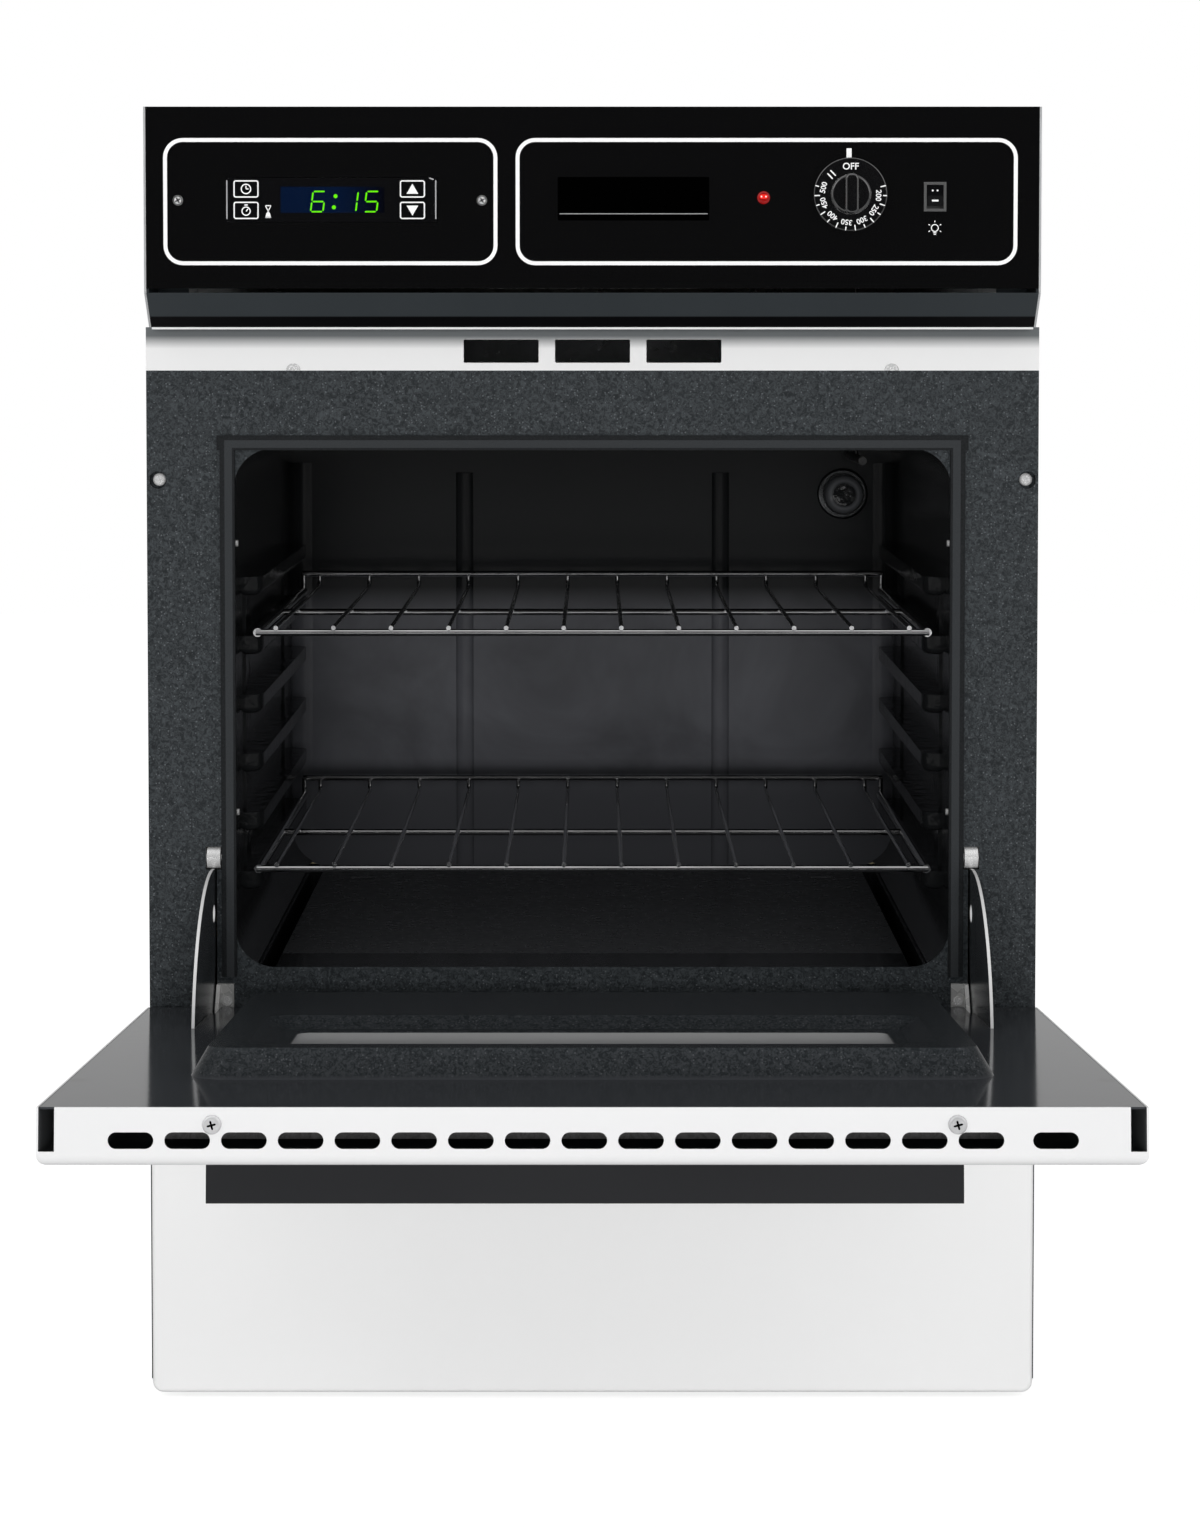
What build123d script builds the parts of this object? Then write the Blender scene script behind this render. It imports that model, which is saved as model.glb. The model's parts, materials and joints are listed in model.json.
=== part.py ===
from build123d import *
import os
from math import cos, radians, sin, sqrt

# Built-in gas oven with a drop-down door and a broiler drawer. Millimetres, +Z up, front towards -Y.
# The origin is on the centre line, in the plane of the cabinet's face, at the underside of the base.

# Casing behind the cabinet's face
CASE_INSET = 20.5
CASE_DEPTH = 575.0
CASE_DROP = 18.6
CASE_SHEET = 1.0
CASE_FLANGE = 12.0

# Front frame and vent panel
FACE_WIDTH = 606.0
FRAME_HEIGHT = 693.0
FRAME_DEPTH = 12.0
FRAME_SHEET = 1.5
FRAME_LIP = 14.0
VENT_HEIGHT = 29.4
VENT_SLOT_WIDTH = 50.9
VENT_SLOT_HEIGHT = 15.7
VENT_SLOT_CORNER = 1.0
VENT_SLOT_PITCH = 62.0
VENT_SLOT_RISE = 13.1
VENT_SLOTS = 3
VENT_CLIP_SPACING = 406.0
VENT_CLIP_RADIUS = 4.8
VENT_CLIP_HEIGHT = 2.0

# Screws that hold the oven in its cabinet
MOUNT_INSET = 7.5
MOUNT_Z = 618.6
MOUNT_SHANK_RADIUS = 2.0
MOUNT_SHANK_LENGTH = 25.0
MOUNT_SHOULDER_RADIUS = 2.3
MOUNT_SHOULDER_LENGTH = 2.5
MOUNT_HEAD_RADIUS = 4.4
MOUNT_HEAD_HEIGHT = 3.0
MOUNT_ACCESS_RADIUS = 6.0
SCREW_CLEARANCE = 0.15
EDGE_SPARE = 0.1

# Oven cavity
CAVITY_INSET = 59.0
CAVITY_HEIGHT = 355.0
CAVITY_DEPTH = 430.0
CAVITY_FLOOR = 285.0
CAVITY_CORNER = 27.0
CAVITY_SHEET = 1.2
CAVITY_COVE = 16.0
HEAT_SLOT_WIDTH = 12.0
SILL_DEPTH = 50.0
BEAD_SPACING = 208.0
BEAD_WIDTH = 14.0
BEAD_DEPTH = 4.0
BEAD_TOP_GAP = 35.0
BOSS_SPACING = 45.0
BOSS_RADIUS = 7.3
BOSS_DEPTH = 1.5
BOSS_DROP = 44.0
FINGER_SLOT_EDGE = 34.0
FINGER_SLOT_LENGTH = 20.0
FINGER_SLOT_WIDTH = 8.0
FINGER_SLOT_INSET = 48.0
FINGER_SLOT_CORNER = 3.6

# Racks and the ladders that carry them
RACK_LOWER_Z = 348.0
RACK_PITCH = 41.0
RACK_STEPS = 4
RACK_BACK_GAP = 42.0
RACK_SETBACK = 27.0
RACK_SIDE_GAP = 10.0
RACK_WIRE_RADIUS = 2.4
RACK_SIDE_RADIUS = 3.0
RACK_BAR_RADIUS = 1.6
RACK_POST_RADIUS = 2.0
RACK_BARS = 12
RACK_BAR_INSET = 15.65
RACK_STOP_HEIGHT = 14.0
RACK_BEND_RADIUS = 6.0
RACK_MIDDLE = 0.46
RACK_TRAVEL_GAP = 0.4
GUIDE_SHEET = 1.5
GUIDE_REACH = 15.0
GUIDE_RIB_HEIGHT = 13.0
GUIDE_STRAP_WIDTH = 30.0
GUIDE_CROWN = 12.0
GUIDE_NOSE = 4.3
GUIDE_INSET = 22.0
GUIDE_SPARE = 1
WALL_SCREW_RADIUS = 2.2
WALL_SCREW_HEIGHT = 1.2
WALL_SCREW_DEPTH = 4.0
WALL_SCREW_LOW = 104.5
WALL_SCREW_PITCH = 185.0

# Oven lamp
LAMP_INSET = 41.0
LAMP_DROP = 52.0
LAMP_RING_RADIUS = 20.5
LAMP_RING_DEPTH = 6.0
LAMP_GLASS_RADIUS = 15.0
LAMP_GLASS_WALL = 1.5
LAMP_GLASS_DEPTH = 24.0
LAMP_GLASS_ROUND = 8.0
LAMP_BULB_RADIUS = 9.0
LAMP_SOCKET_DEPTH = 40.0

# Door
DOOR_THICKNESS = 32.0
DOOR_REACH = 437.0
DOOR_TAIL = 13.0
DOOR_LINER_TAIL = 5.0
DOOR_TAIL_SETBACK = 8.0
DOOR_SHEET = 1.2
DOOR_EDGE_RADIUS = 6.0
DOOR_FACE_GAP = 4.0
DOOR_OPEN_ANGLE = 85.1
DOOR_SLOT_LENGTH = 24.9
DOOR_SLOT_WIDTH = 9.0
DOOR_SLOTS = 16
DOOR_SLOT_LEFT_INSET = 51.5
DOOR_SLOT_RIGHT_INSET = 50.7
DOOR_LAST_SLOT_SHARE = 1.315
DOOR_SLOT_DEPTH = 18.0
DOOR_NOTCH_WIDTH = 8.7
DOOR_NOTCH_DEPTH = 24.0
DOOR_SCREW_SPACING = 406.0
DOOR_SCREW_SHIFT = -4.2
DOOR_SCREW_DEPTH = 9.3
DOOR_SCREW_RADIUS = 2.0
DOOR_SCREW_LENGTH = 12.0
DOOR_SCREW_HEAD = 5.2
DOOR_SCREW_HEAD_HEIGHT = 3.0
DOOR_SCREW_CROWN = 1.8
LINER_FLANGE = 13.0
PLUG_HEIGHT = 17.0
PLUG_SIDE_GAP = 10.0
PLUG_BOTTOM_GAP = 6.0
PLUG_TOP_GAP = 58.0
PLUG_SLOPE = 10.0
PLUG_CORNER = 22.0
WINDOW_INSET = 31.0
WINDOW_HEIGHT = 133.0
WINDOW_TOP_DROP = 23.0
WINDOW_CORNER = 16.0
WINDOW_RECESS = 7.0
WINDOW_SLOPE = 12.0
WINDOW_GLASS = 4.0
WINDOW_LAP = 9.0
OUTER_WINDOW_LAP = 10.0
HANDLE_WIDTH = 420.0
HANDLE_STANDOFF = 26.0
HANDLE_DROP = 32.0
HANDLE_HEIGHT = 34.0
HANDLE_WALL = 2.6
HANDLE_EDGE = 1.1

# Door hinges
PIVOT_Z = 248.0
PIVOT_INSET = 12.0
HINGE_INSET = 44.4
ARM_SHEET = 2.0
ARM_RADIUS = 106.0
ARM_BACK_ANGLE = -14.0
ARM_FRONT_ANGLE = 92.0
ARM_HOLE_REACH = 76.0
ARM_FOOT_TOP = 95.0
ARM_EYE_RADIUS = 10.0
ARM_HOLE_RADIUS = 6.0
ARM_FOOT_WIDTH = 11.0
ARM_SIDE_GAP = 1.0
PIN_RADIUS = 4.0
PIN_CLEARANCE = 0.08
EAR_SHEET = 2.5
EAR_RADIUS = 8.0
EAR_TOP = 26.0
EAR_FLANGE = 9.0
ROLLER_RADIUS = 7.5
ROLLER_WIDTH = 9.0
ROLLER_PIN_RADIUS = 2.5
HINGE_GAP = 0.4
HINGE_SCREW_RADIUS = 3.2
HINGE_SCREW_HEIGHT = 1.0

# Door gasket
GASKET_WIDTH = 10.0
GASKET_PROUD = 3.5
GASKET_OVERHANG = 2.0
GASKET_FOOT = 6.0

# Control panel
CONTROL_WIDTH = 596.8
CONTROL_PROUD = 40.0
GLASS_HEIGHT = 120.6
GLASS_THICKNESS = 4.0
GLASS_JOINT = 2.8
GLASS_SEAT = 8.0
BEVEL_RUN = 23.0
CONTROL_HEIGHT = 146.2
HOUSING_SHEET = 1.2
HOUSING_FLANGE = 22.0
TRIM_THICKNESS = 1.4
PANEL_SCREW_RISE = 58.5
PANEL_SCREW_LEFT_INSET = 22.9
PANEL_SCREW_RIGHT_INSET = 224.9
PANEL_SCREW_RADIUS = 3.3
PANEL_SCREW_HEIGHT = 1.2

# Clock, buttons and display
CLOCK_INSET = 125.4
CLOCK_RISE = 58.9
CLOCK_WIDTH = 140.0
CLOCK_HEIGHT = 29.4
CLOCK_DEPTH = 26.0
CLOCK_CLEARANCE = 0.3
BUTTON_WIDTH = 17.8
BUTTON_HEIGHT = 12.6
BUTTON_PITCH = 14.2
BUTTON_LEFT_REACH = 57.1
BUTTON_RIGHT_REACH = 53.4
BUTTON_THICKNESS = 3.0
BUTTON_PROUD = 1.6
BUTTON_TRAVEL = 1.0
BUTTON_CORNER = 2.0
BUTTON_EDGE = 0.6
BUTTON_CLEARANCE = 0.3
DISPLAY_SHIFT = 0.2
DISPLAY_WIDTH = 69.0
DISPLAY_HEIGHT = 17.2
DISPLAY_THICKNESS = 2.0

# Lamp, dial and light switch on the panel
INDICATOR_INSET = 184.7
INDICATOR_RISE = 60.3
INDICATOR_RADIUS = 4.3
INDICATOR_LENGTH = 18.0
INDICATOR_PROUD = 2.0
INDICATOR_CROWN = 1.6
DIAL_INSET = 127.2
DIAL_RISE = 62.3
DIAL_RADIUS = 24.5
DIAL_SKIRT = 3.0
DIAL_GAP = 1.2
HUB_RADIUS = 13.5
HUB_HEIGHT = 9.0
GRIP_THICKNESS = 9.0
GRIP_LENGTH = 26.7
GRIP_HEIGHT = 17.0
GRIP_CORNER = 3.6
GRIP_EDGE = 1.8
SHAFT_RADIUS = 3.0
SHAFT_CLEARANCE = 0.05
SHAFT_HOLE_RADIUS = 5.5
SHAFT_DEPTH_IN_KNOB = 12.0
SWITCH_INSET = 70.8
SWITCH_RISE = 60.9
SWITCH_WIDTH = 14.9
SWITCH_HEIGHT = 19.5
SWITCH_LIP = 0.6
SWITCH_WALL = 1.2
SWITCH_PROUD = 1.4
SWITCH_DEPTH = 16.0
ROCKER_GAP = 0.35
ROCKER_TILT = 7.0
ROCKER_AXLE_RADIUS = 1.2
ROCKER_DEPTH = 5.0

# Thermostat
THERMOSTAT_SIZE = 44.0
THERMOSTAT_DEPTH = 36.0
THERMOSTAT_SETBACK = 8.0
CAPILLARY_RADIUS = 1.2
CAPILLARY_HOLE_RADIUS = 3.0
BULB_RADIUS = 3.2
BULB_LENGTH = 120.0
BULB_INSET = 36.0
BULB_DROP = 20.0
BULB_Y = 340.0
BULB_CLIP_SHEET = 1.5

# Burner and what surrounds it
BURNER_BOX_HEIGHT = 60.0
BURNER_BOX_DEPTH = 400.0
BURNER_BOX_FLANGE = 10.0
BURNER_RADIUS = 14.0
BURNER_WALL = 1.2
BURNER_DROP = 42.0
BURNER_START = 40.0
BURNER_PORT_RADIUS = 1.3
BURNER_PORTS = 16
BAFFLE_SIDE_GAP = 29.0
BAFFLE_DROP = 17.0
BAFFLE_SHEET = 1.5
BAFFLE_TAB = 8.0
IGNITER_LENGTH = 70.0
IGNITER_SIZE = 10.0
BROIL_GAP = 6.0

# Gas supply
GAS_X = -190.0
GAS_Z = 120.0
GAS_PIPE_RADIUS = 10.65
GAS_STUB = 25.0
GAS_INNER_RADIUS = 9.5
GAS_REACH = 80.0
FEED_RADIUS = 6.0
REGULATOR_SIZE = 46.0
REGULATOR_CAP_RADIUS = 18.0
REGULATOR_CAP_HEIGHT = 10.0
VALVE_LENGTH = 52.0
VALVE_SIZE = 40.0
VALVE_GAP = 14.0
ORIFICE_RADIUS = 5.0

# Power supply
POWER_X = 190.0
POWER_Z = 90.0
POWER_HOLE_RADIUS = 11.1
JUNCTION_WIDTH = 90.0
JUNCTION_HEIGHT = 70.0
JUNCTION_DEPTH = 45.0

# Flue and insulation
FLUE_WIDTH = 200.0
FLUE_HEIGHT = 22.0
FLUE_DEPTH = 340.0
FLUE_RISER = 50.0
FLUE_SHEET = 1.0
INSULATION_TOP = 40.0
INSULATION_SIDE = 26.0
INSULATION_BACK = 34.0
INSULATION_GAP = 3.0
INSULATION_DOOR_DROP = 60.0
HINGE_POCKET_DEPTH = 100.0
BACK_LOUVRES = 6
BACK_LOUVRE_WIDTH = 180.0
BACK_LOUVRE_HEIGHT = 6.0
BACK_LOUVRE_PITCH = 14.0
BACK_LOUVRE_DROP = 60.0

# Broiler drawer
DRAWER_SIDE_GAP = 5.8
DRAWER_BOTTOM = 3.0
DRAWER_TOP = 222.0
DRAWER_THICKNESS = 38.0
DRAWER_FACE_GAP = 2.0
DRAWER_EDGE_RADIUS = 7.0
DRAWER_SHEET = 1.2
DRAWER_OPENING_INSET = 37.0
DRAWER_OPENING_BOTTOM = 20.0
DRAWER_OPENING_TOP = 208.0
DRAWER_BOX_INSET = 31.5
DRAWER_BOX_HEIGHT = 70.0
DRAWER_BOX_DEPTH = 430.0
DRAWER_BOX_Z = 26.0
DRAWER_TRAVEL = 350.0
RUNNER_WIDTH = 12.0
RUNNER_HEIGHT = 4.0
RUNNER_RISE = 30.0
RUNNER_GAP = 0.4
RAIL_SHEET = 1.5
RAIL_HEIGHT = 24.0
PAN_SIDE_GAP = 40.0
PAN_DEPTH = 350.0
PAN_HEIGHT = 36.0
PAN_SHEET = 1.2
PAN_RIM = 10.0
PAN_CORNER = 20.0
GRID_SLOT_WIDTH = 6.0
GRID_SLOT_INSET = 48.0
GRID_SLOTS = 19
GRID_SLOT_MARGIN = 40.0
GRID_SHEET = 1.2
GRID_LAP = 7.0
DRAWER_HANDLE_RISE = 170.0

# Places that follow from the sizes above
face_y = -FRAME_DEPTH
frame_back_y = face_y + FRAME_SHEET
face_half = FACE_WIDTH / 2
case_half = face_half - CASE_INSET
case_inner = case_half - CASE_SHEET
case_back_y = CASE_DEPTH - CASE_SHEET
vent_top = FRAME_HEIGHT + VENT_HEIGHT
control_top = vent_top + CONTROL_HEIGHT
case_height = control_top - CASE_DROP
mount_x = face_half - MOUNT_INSET
hinge_x = face_half - HINGE_INSET
cavity_half = face_half - CAVITY_INSET
cavity_top_z = CAVITY_FLOOR + CAVITY_HEIGHT
cavity_back_y = face_y + CAVITY_DEPTH
cavity_mid_z = CAVITY_FLOOR + CAVITY_HEIGHT / 2
flat_half = cavity_half - CAVITY_CORNER
ledge_x = flat_half + HEAT_SLOT_WIDTH
ledge_z = CAVITY_FLOOR + CAVITY_CORNER - sqrt(CAVITY_CORNER**2 - HEAT_SLOT_WIDTH**2)
burner_box_z = CAVITY_FLOOR - BURNER_BOX_HEIGHT
sill_y = face_y + SILL_DEPTH
baffle_half = ledge_x - BAFFLE_SIDE_GAP
rack_half = cavity_half - RACK_SIDE_GAP
rack_bar_pitch = 2 * (rack_half - RACK_BAR_INSET) / (RACK_BARS - 1)
rack_front_y = face_y + RACK_SETBACK
rack_depth = CAVITY_DEPTH - RACK_SETBACK - RACK_BACK_GAP
rack_upper_z = RACK_LOWER_Z + RACK_PITCH * RACK_STEPS
lamp_x = cavity_half - LAMP_INSET
lamp_z = cavity_top_z - LAMP_DROP
bulb_x = cavity_half - BULB_INSET
door_inner_y = face_y - DOOR_FACE_GAP
door_outer_y = door_inner_y - DOOR_THICKNESS
door_top_z = PIVOT_Z + DOOR_REACH
pivot_y = door_inner_y - PIVOT_INSET
plug_low_z = CAVITY_FLOOR + PLUG_BOTTOM_GAP
plug_high_z = cavity_top_z - PLUG_TOP_GAP
plug_half = cavity_half - PLUG_SIDE_GAP
window_half = plug_half - WINDOW_INSET
plug_face_y = door_inner_y + PLUG_HEIGHT
window_high_z = plug_high_z - PLUG_SLOPE - WINDOW_TOP_DROP + WINDOW_SLOPE / 2
window_mid_z = window_high_z - WINDOW_HEIGHT / 2
window_seat_y = plug_face_y - WINDOW_RECESS
panel_y = face_y - CONTROL_PROUD
glass_back_y = panel_y + GLASS_THICKNESS
glass_low_z = control_top - GLASS_HEIGHT
clock_z = glass_low_z + CLOCK_RISE
indicator_z = glass_low_z + INDICATOR_RISE
dial_z = glass_low_z + DIAL_RISE
switch_z = glass_low_z + SWITCH_RISE
panel_screw_z = glass_low_z + PANEL_SCREW_RISE
bevel_top_z = glass_low_z - GLASS_JOINT
bevel_back_y = panel_y + BEVEL_RUN
control_half = CONTROL_WIDTH / 2
housing_half = control_half - TRIM_THICKNESS
panel_screw_left_x = PANEL_SCREW_LEFT_INSET - control_half
panel_screw_right_x = PANEL_SCREW_RIGHT_INSET - control_half
clock_x = CLOCK_INSET - control_half
button_left_x = clock_x - BUTTON_LEFT_REACH
button_right_x = clock_x + BUTTON_RIGHT_REACH
display_x = clock_x + DISPLAY_SHIFT
indicator_x = control_half - INDICATOR_INSET
dial_x = control_half - DIAL_INSET
switch_x = control_half - SWITCH_INSET
drawer_face_y = face_y - DRAWER_FACE_GAP - DRAWER_THICKNESS
drawer_back_y = face_y - DRAWER_FACE_GAP
drawer_half = face_half - DRAWER_SIDE_GAP
drawer_opening_half = face_half - DRAWER_OPENING_INSET
drawer_box_half = case_inner - DRAWER_BOX_INSET
pan_half = drawer_box_half - PAN_SIDE_GAP
grid_slot_pitch = 2 * (pan_half - GRID_SLOT_INSET) / (GRID_SLOTS - 1)
rail_top_z = DRAWER_BOX_Z + RUNNER_RISE
burner_z = CAVITY_FLOOR - BURNER_DROP
duct_low_z = FRAME_HEIGHT + VENT_SLOT_RISE - (FLUE_HEIGHT - VENT_SLOT_HEIGHT) / 2 - VENT_SLOT_HEIGHT / 2


# Shapes that many pieces share
def block(x, y, z):
    """A box between the low and high ends given for each axis."""
    middle = Pos((x[0] + x[1]) / 2, (y[0] + y[1]) / 2, (z[0] + z[1]) / 2)
    return middle * Box(x[1] - x[0], y[1] - y[0], z[1] - z[0])


def rod(start, end, radius):
    """A round bar between two points."""
    path = Vector(*end) - Vector(*start)
    return Part() + Solid.make_cylinder(radius, path.length, Plane(origin=start, z_dir=path))


def upright(sketch, y, thickness):
    """A sketch of X and Z, standing with its front at y."""
    return Pos(0, y, 0) * extrude(Plane.XZ * sketch, amount=thickness, dir=(0, 1, 0))


def sideways(sketch, x, width):
    """A sketch of Y and Z, drawn out along X from x."""
    return Pos(x, 0, 0) * extrude(Plane.YZ * sketch, amount=width, dir=(1, 0, 0))


def both_sides(shape):
    """A shape and its mirror image across the centre line."""
    return [shape, mirror(shape, about=Plane.YZ)]


def area(width, height, x, z, corner=0.0):
    """A rectangle by its size and middle, with round corners where a radius is given."""
    flat = RectangleRounded(width, height, corner) if corner > 0 else Rectangle(width, height)
    return Pos(x, z) * flat


def opened(shapes):
    """Door pieces, drawn closed, swung to where the open door rests."""
    swing = Pos(0, pivot_y, PIVOT_Z) * Rot(X=DOOR_OPEN_ANGLE) * Pos(0, -pivot_y, -PIVOT_Z)
    return [swing * shape for shape in shapes]


def screw(x, y, z, head_radius, head_height, shank_radius, shank_length):
    """A pan-head screw that enters towards +Y, its head's seat at y."""
    head = rod((x, y - head_height, z), (x, y, z), head_radius)
    crown = min(head_height, head_radius) / 2
    head = fillet(head.edges().group_by(Axis.Y)[0], crown)
    return head + rod((x, y, z), (x, y + shank_length, z), shank_radius)


# Casing
def side_panel():
    """The right side of the casing, cut back where the control housing stands."""
    with BuildSketch() as outline:
        with BuildLine():
            Polyline((frame_back_y, 0), (case_back_y, 0), (case_back_y, case_height), (0, case_height),
                     (0, vent_top), (frame_back_y, vent_top), close=True)
        make_face()
    return sideways(outline.sketch, case_inner, CASE_SHEET)


def base_pan():
    """A shallow tray with its walls turned up."""
    x = (-case_inner, case_inner)
    tray = block(x, (frame_back_y, case_back_y), (0, CASE_FLANGE))
    hollow = block((x[0] + CASE_SHEET, x[1] - CASE_SHEET),
                   (frame_back_y + CASE_SHEET, case_back_y - CASE_SHEET), (CASE_SHEET, CASE_FLANGE))
    return tray - hollow


def top_panel():
    """A shallow lid with its walls turned down."""
    x = (-case_inner, case_inner)
    lid = block(x, (0, case_back_y), (case_height - CASE_FLANGE, case_height))
    hollow = block((x[0] + CASE_SHEET, x[1] - CASE_SHEET), (CASE_SHEET, case_back_y - CASE_SHEET),
                   (case_height - CASE_FLANGE, case_height - CASE_SHEET))
    return lid - hollow


def back_panel():
    """The flat back, with louvres and the holes for gas and power."""
    sheet = block((-case_half, case_half), (case_back_y, CASE_DEPTH), (0, case_height))
    holes = [rod((GAS_X, case_back_y, GAS_Z), (GAS_X, CASE_DEPTH, GAS_Z), GAS_PIPE_RADIUS + SCREW_CLEARANCE),
             rod((POWER_X, case_back_y, POWER_Z), (POWER_X, CASE_DEPTH, POWER_Z), POWER_HOLE_RADIUS)]
    for row in range(BACK_LOUVRES):
        z = case_height - BACK_LOUVRE_DROP - row * BACK_LOUVRE_PITCH
        holes += [upright(area(BACK_LOUVRE_WIDTH, BACK_LOUVRE_HEIGHT, 0, z), case_back_y, CASE_SHEET)]
    return sheet - holes


# Front frame
def face_sheet(low, high):
    """A sheet at the frame's face whose sides fold back to lips on the cabinet."""
    half = face_half
    sheet = block((-half, half), (face_y, frame_back_y), (low, high))
    folds = [block((half - FRAME_SHEET, half), (frame_back_y, 0), (low, high)),
             block((half - FRAME_LIP, half - FRAME_SHEET), (-FRAME_SHEET, 0), (low, high))]
    return sheet + [side for fold in folds for side in both_sides(fold)]


def arm_slot():
    """The opening that an arm and its roller pass through, in X and Z."""
    arm_gap = ARM_SHEET + 2 * ARM_SIDE_GAP
    low = PIVOT_Z - EAR_RADIUS
    reach = arm_top_z() + HINGE_GAP
    slot = area(arm_gap, reach - low, hinge_x, (low + reach) / 2)
    half = ROLLER_RADIUS + HINGE_GAP
    return slot + area(ROLLER_WIDTH + 2 * ARM_SIDE_GAP, 2 * half, hinge_x, roller_z())


def arm_top_z():
    """How high an arm reaches in the plane of the frame."""
    return PIVOT_Z + sqrt(ARM_RADIUS**2 - (frame_back_y - pivot_y)**2) + HINGE_GAP


def roller_y():
    """The roller's centre, set so that its pin just clears the back of the frame."""
    return frame_back_y + ROLLER_PIN_RADIUS + HINGE_GAP


def roller_z():
    """The roller's centre, just clear of the arm's round edge."""
    return PIVOT_Z + sqrt((ARM_RADIUS + HINGE_GAP + ROLLER_RADIUS)**2 - (roller_y() - pivot_y)**2)


def front_frame():
    """The face frame around the cavity and the drawer, with slots for the hinge arms."""
    cavity = area(2 * cavity_half, CAVITY_HEIGHT, 0, cavity_mid_z, CAVITY_CORNER)
    drawer = area(2 * drawer_opening_half, DRAWER_OPENING_TOP - DRAWER_OPENING_BOTTOM, 0,
                  (DRAWER_OPENING_TOP + DRAWER_OPENING_BOTTOM) / 2)
    cuts = [upright(cavity, face_y, FRAME_SHEET), upright(drawer, face_y, FRAME_SHEET)]
    cuts += both_sides(upright(arm_slot(), face_y, FRAME_SHEET))
    x = mount_x
    cuts += both_sides(rod((x, face_y, MOUNT_Z), (x, frame_back_y, MOUNT_Z), MOUNT_ACCESS_RADIUS))
    cuts += both_sides(rod((x, -FRAME_SHEET, MOUNT_Z), (x, 0, MOUNT_Z),
                           MOUNT_SHOULDER_RADIUS + SCREW_CLEARANCE))
    return face_sheet(0, FRAME_HEIGHT) - cuts


def vent_panel():
    """The strip above the frame, with its row of slots."""
    strip = face_sheet(FRAME_HEIGHT, vent_top)
    slots = []
    for place in range(VENT_SLOTS):
        x = (place - (VENT_SLOTS - 1) / 2) * VENT_SLOT_PITCH
        slot = area(VENT_SLOT_WIDTH, VENT_SLOT_HEIGHT, x, FRAME_HEIGHT + VENT_SLOT_RISE, VENT_SLOT_CORNER)
        slots += [upright(slot, face_y, FRAME_SHEET)]
    return strip - slots


def vent_clips():
    """Half-round clips where the vent panel meets the frame."""
    x = VENT_CLIP_SPACING / 2
    disc = rod((x, face_y - VENT_CLIP_HEIGHT, FRAME_HEIGHT), (x, face_y, FRAME_HEIGHT), VENT_CLIP_RADIUS)
    above = block((x - VENT_CLIP_RADIUS, x + VENT_CLIP_RADIUS), (face_y - VENT_CLIP_HEIGHT, face_y),
                  (FRAME_HEIGHT, FRAME_HEIGHT + VENT_CLIP_RADIUS))
    return both_sides(disc & above)


def mounting_screws():
    """Shouldered screws that go through the frame's lips into the cabinet."""
    head = screw(mount_x, -FRAME_SHEET, MOUNT_Z, MOUNT_HEAD_RADIUS, MOUNT_HEAD_HEIGHT,
                 MOUNT_SHOULDER_RADIUS, MOUNT_SHOULDER_LENGTH)
    start = MOUNT_SHOULDER_LENGTH - FRAME_SHEET
    shank = rod((mount_x, start, MOUNT_Z), (mount_x, MOUNT_SHANK_LENGTH, MOUNT_Z), MOUNT_SHANK_RADIUS)
    return both_sides(head + shank)


def door_gasket():
    """A strip around the top and sides of the cavity's opening, ending above its lower corners."""
    inner = cavity_half - GASKET_OVERHANG / 2
    outer = inner + GASKET_WIDTH
    low = CAVITY_FLOOR - GASKET_FOOT
    high = cavity_top_z - GASKET_OVERHANG / 2
    proud = (face_y - GASKET_PROUD, face_y)
    strips = both_sides(block((inner, outer), proud, (low, high)))
    top = block((-outer - GASKET_OVERHANG, outer + GASKET_OVERHANG), proud, (high, high + GASKET_WIDTH))
    return top + strips


# Oven cavity
def cavity_ring():
    """The rounded section of the cavity's walls, in X and Z."""
    outer = area(2 * cavity_half + 2 * CAVITY_SHEET, CAVITY_HEIGHT + 2 * CAVITY_SHEET, 0, cavity_mid_z,
                 CAVITY_CORNER + CAVITY_SHEET)
    return outer - area(2 * cavity_half, CAVITY_HEIGHT, 0, cavity_mid_z, CAVITY_CORNER)


def cavity_side():
    """The right wall, with its round corners and a lip turned down beside the heat slot."""
    reach = cavity_half + CAVITY_SHEET
    span = CAVITY_HEIGHT + 2 * CAVITY_SHEET
    keep = area(reach - ledge_x, span, (ledge_x + reach) / 2, cavity_mid_z)
    corner = area(reach - flat_half, span / 2, (flat_half + reach) / 2, cavity_mid_z + span / 4)
    section = cavity_ring() & (keep + corner)
    wall = upright(section, frame_back_y, cavity_back_y - frame_back_y)
    lip = block((ledge_x, ledge_x + CAVITY_SHEET), (frame_back_y, cavity_back_y),
                (CAVITY_FLOOR - CAVITY_CORNER / 2, ledge_z))
    return wall + lip


def cavity_top():
    """The flat of the ceiling, with openings for the flue and the thermostat's capillary."""
    sheet = block((-flat_half, flat_half), (frame_back_y, cavity_back_y),
                  (cavity_top_z, cavity_top_z + CAVITY_SHEET))
    tube = rod((bulb_x, BULB_Y, cavity_top_z), (bulb_x, BULB_Y, cavity_top_z + CAVITY_SHEET),
               CAPILLARY_HOLE_RADIUS)
    return sheet - [flue_opening(cavity_top_z, CAVITY_SHEET), tube]


def flue_opening(z, height):
    """The flue's way up, as a block to cut with."""
    half = FLUE_WIDTH / 2 - FLUE_SHEET
    return block((-half, half), (FLUE_DEPTH - FLUE_RISER, FLUE_DEPTH - FLUE_SHEET), (z, z + height))


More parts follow.
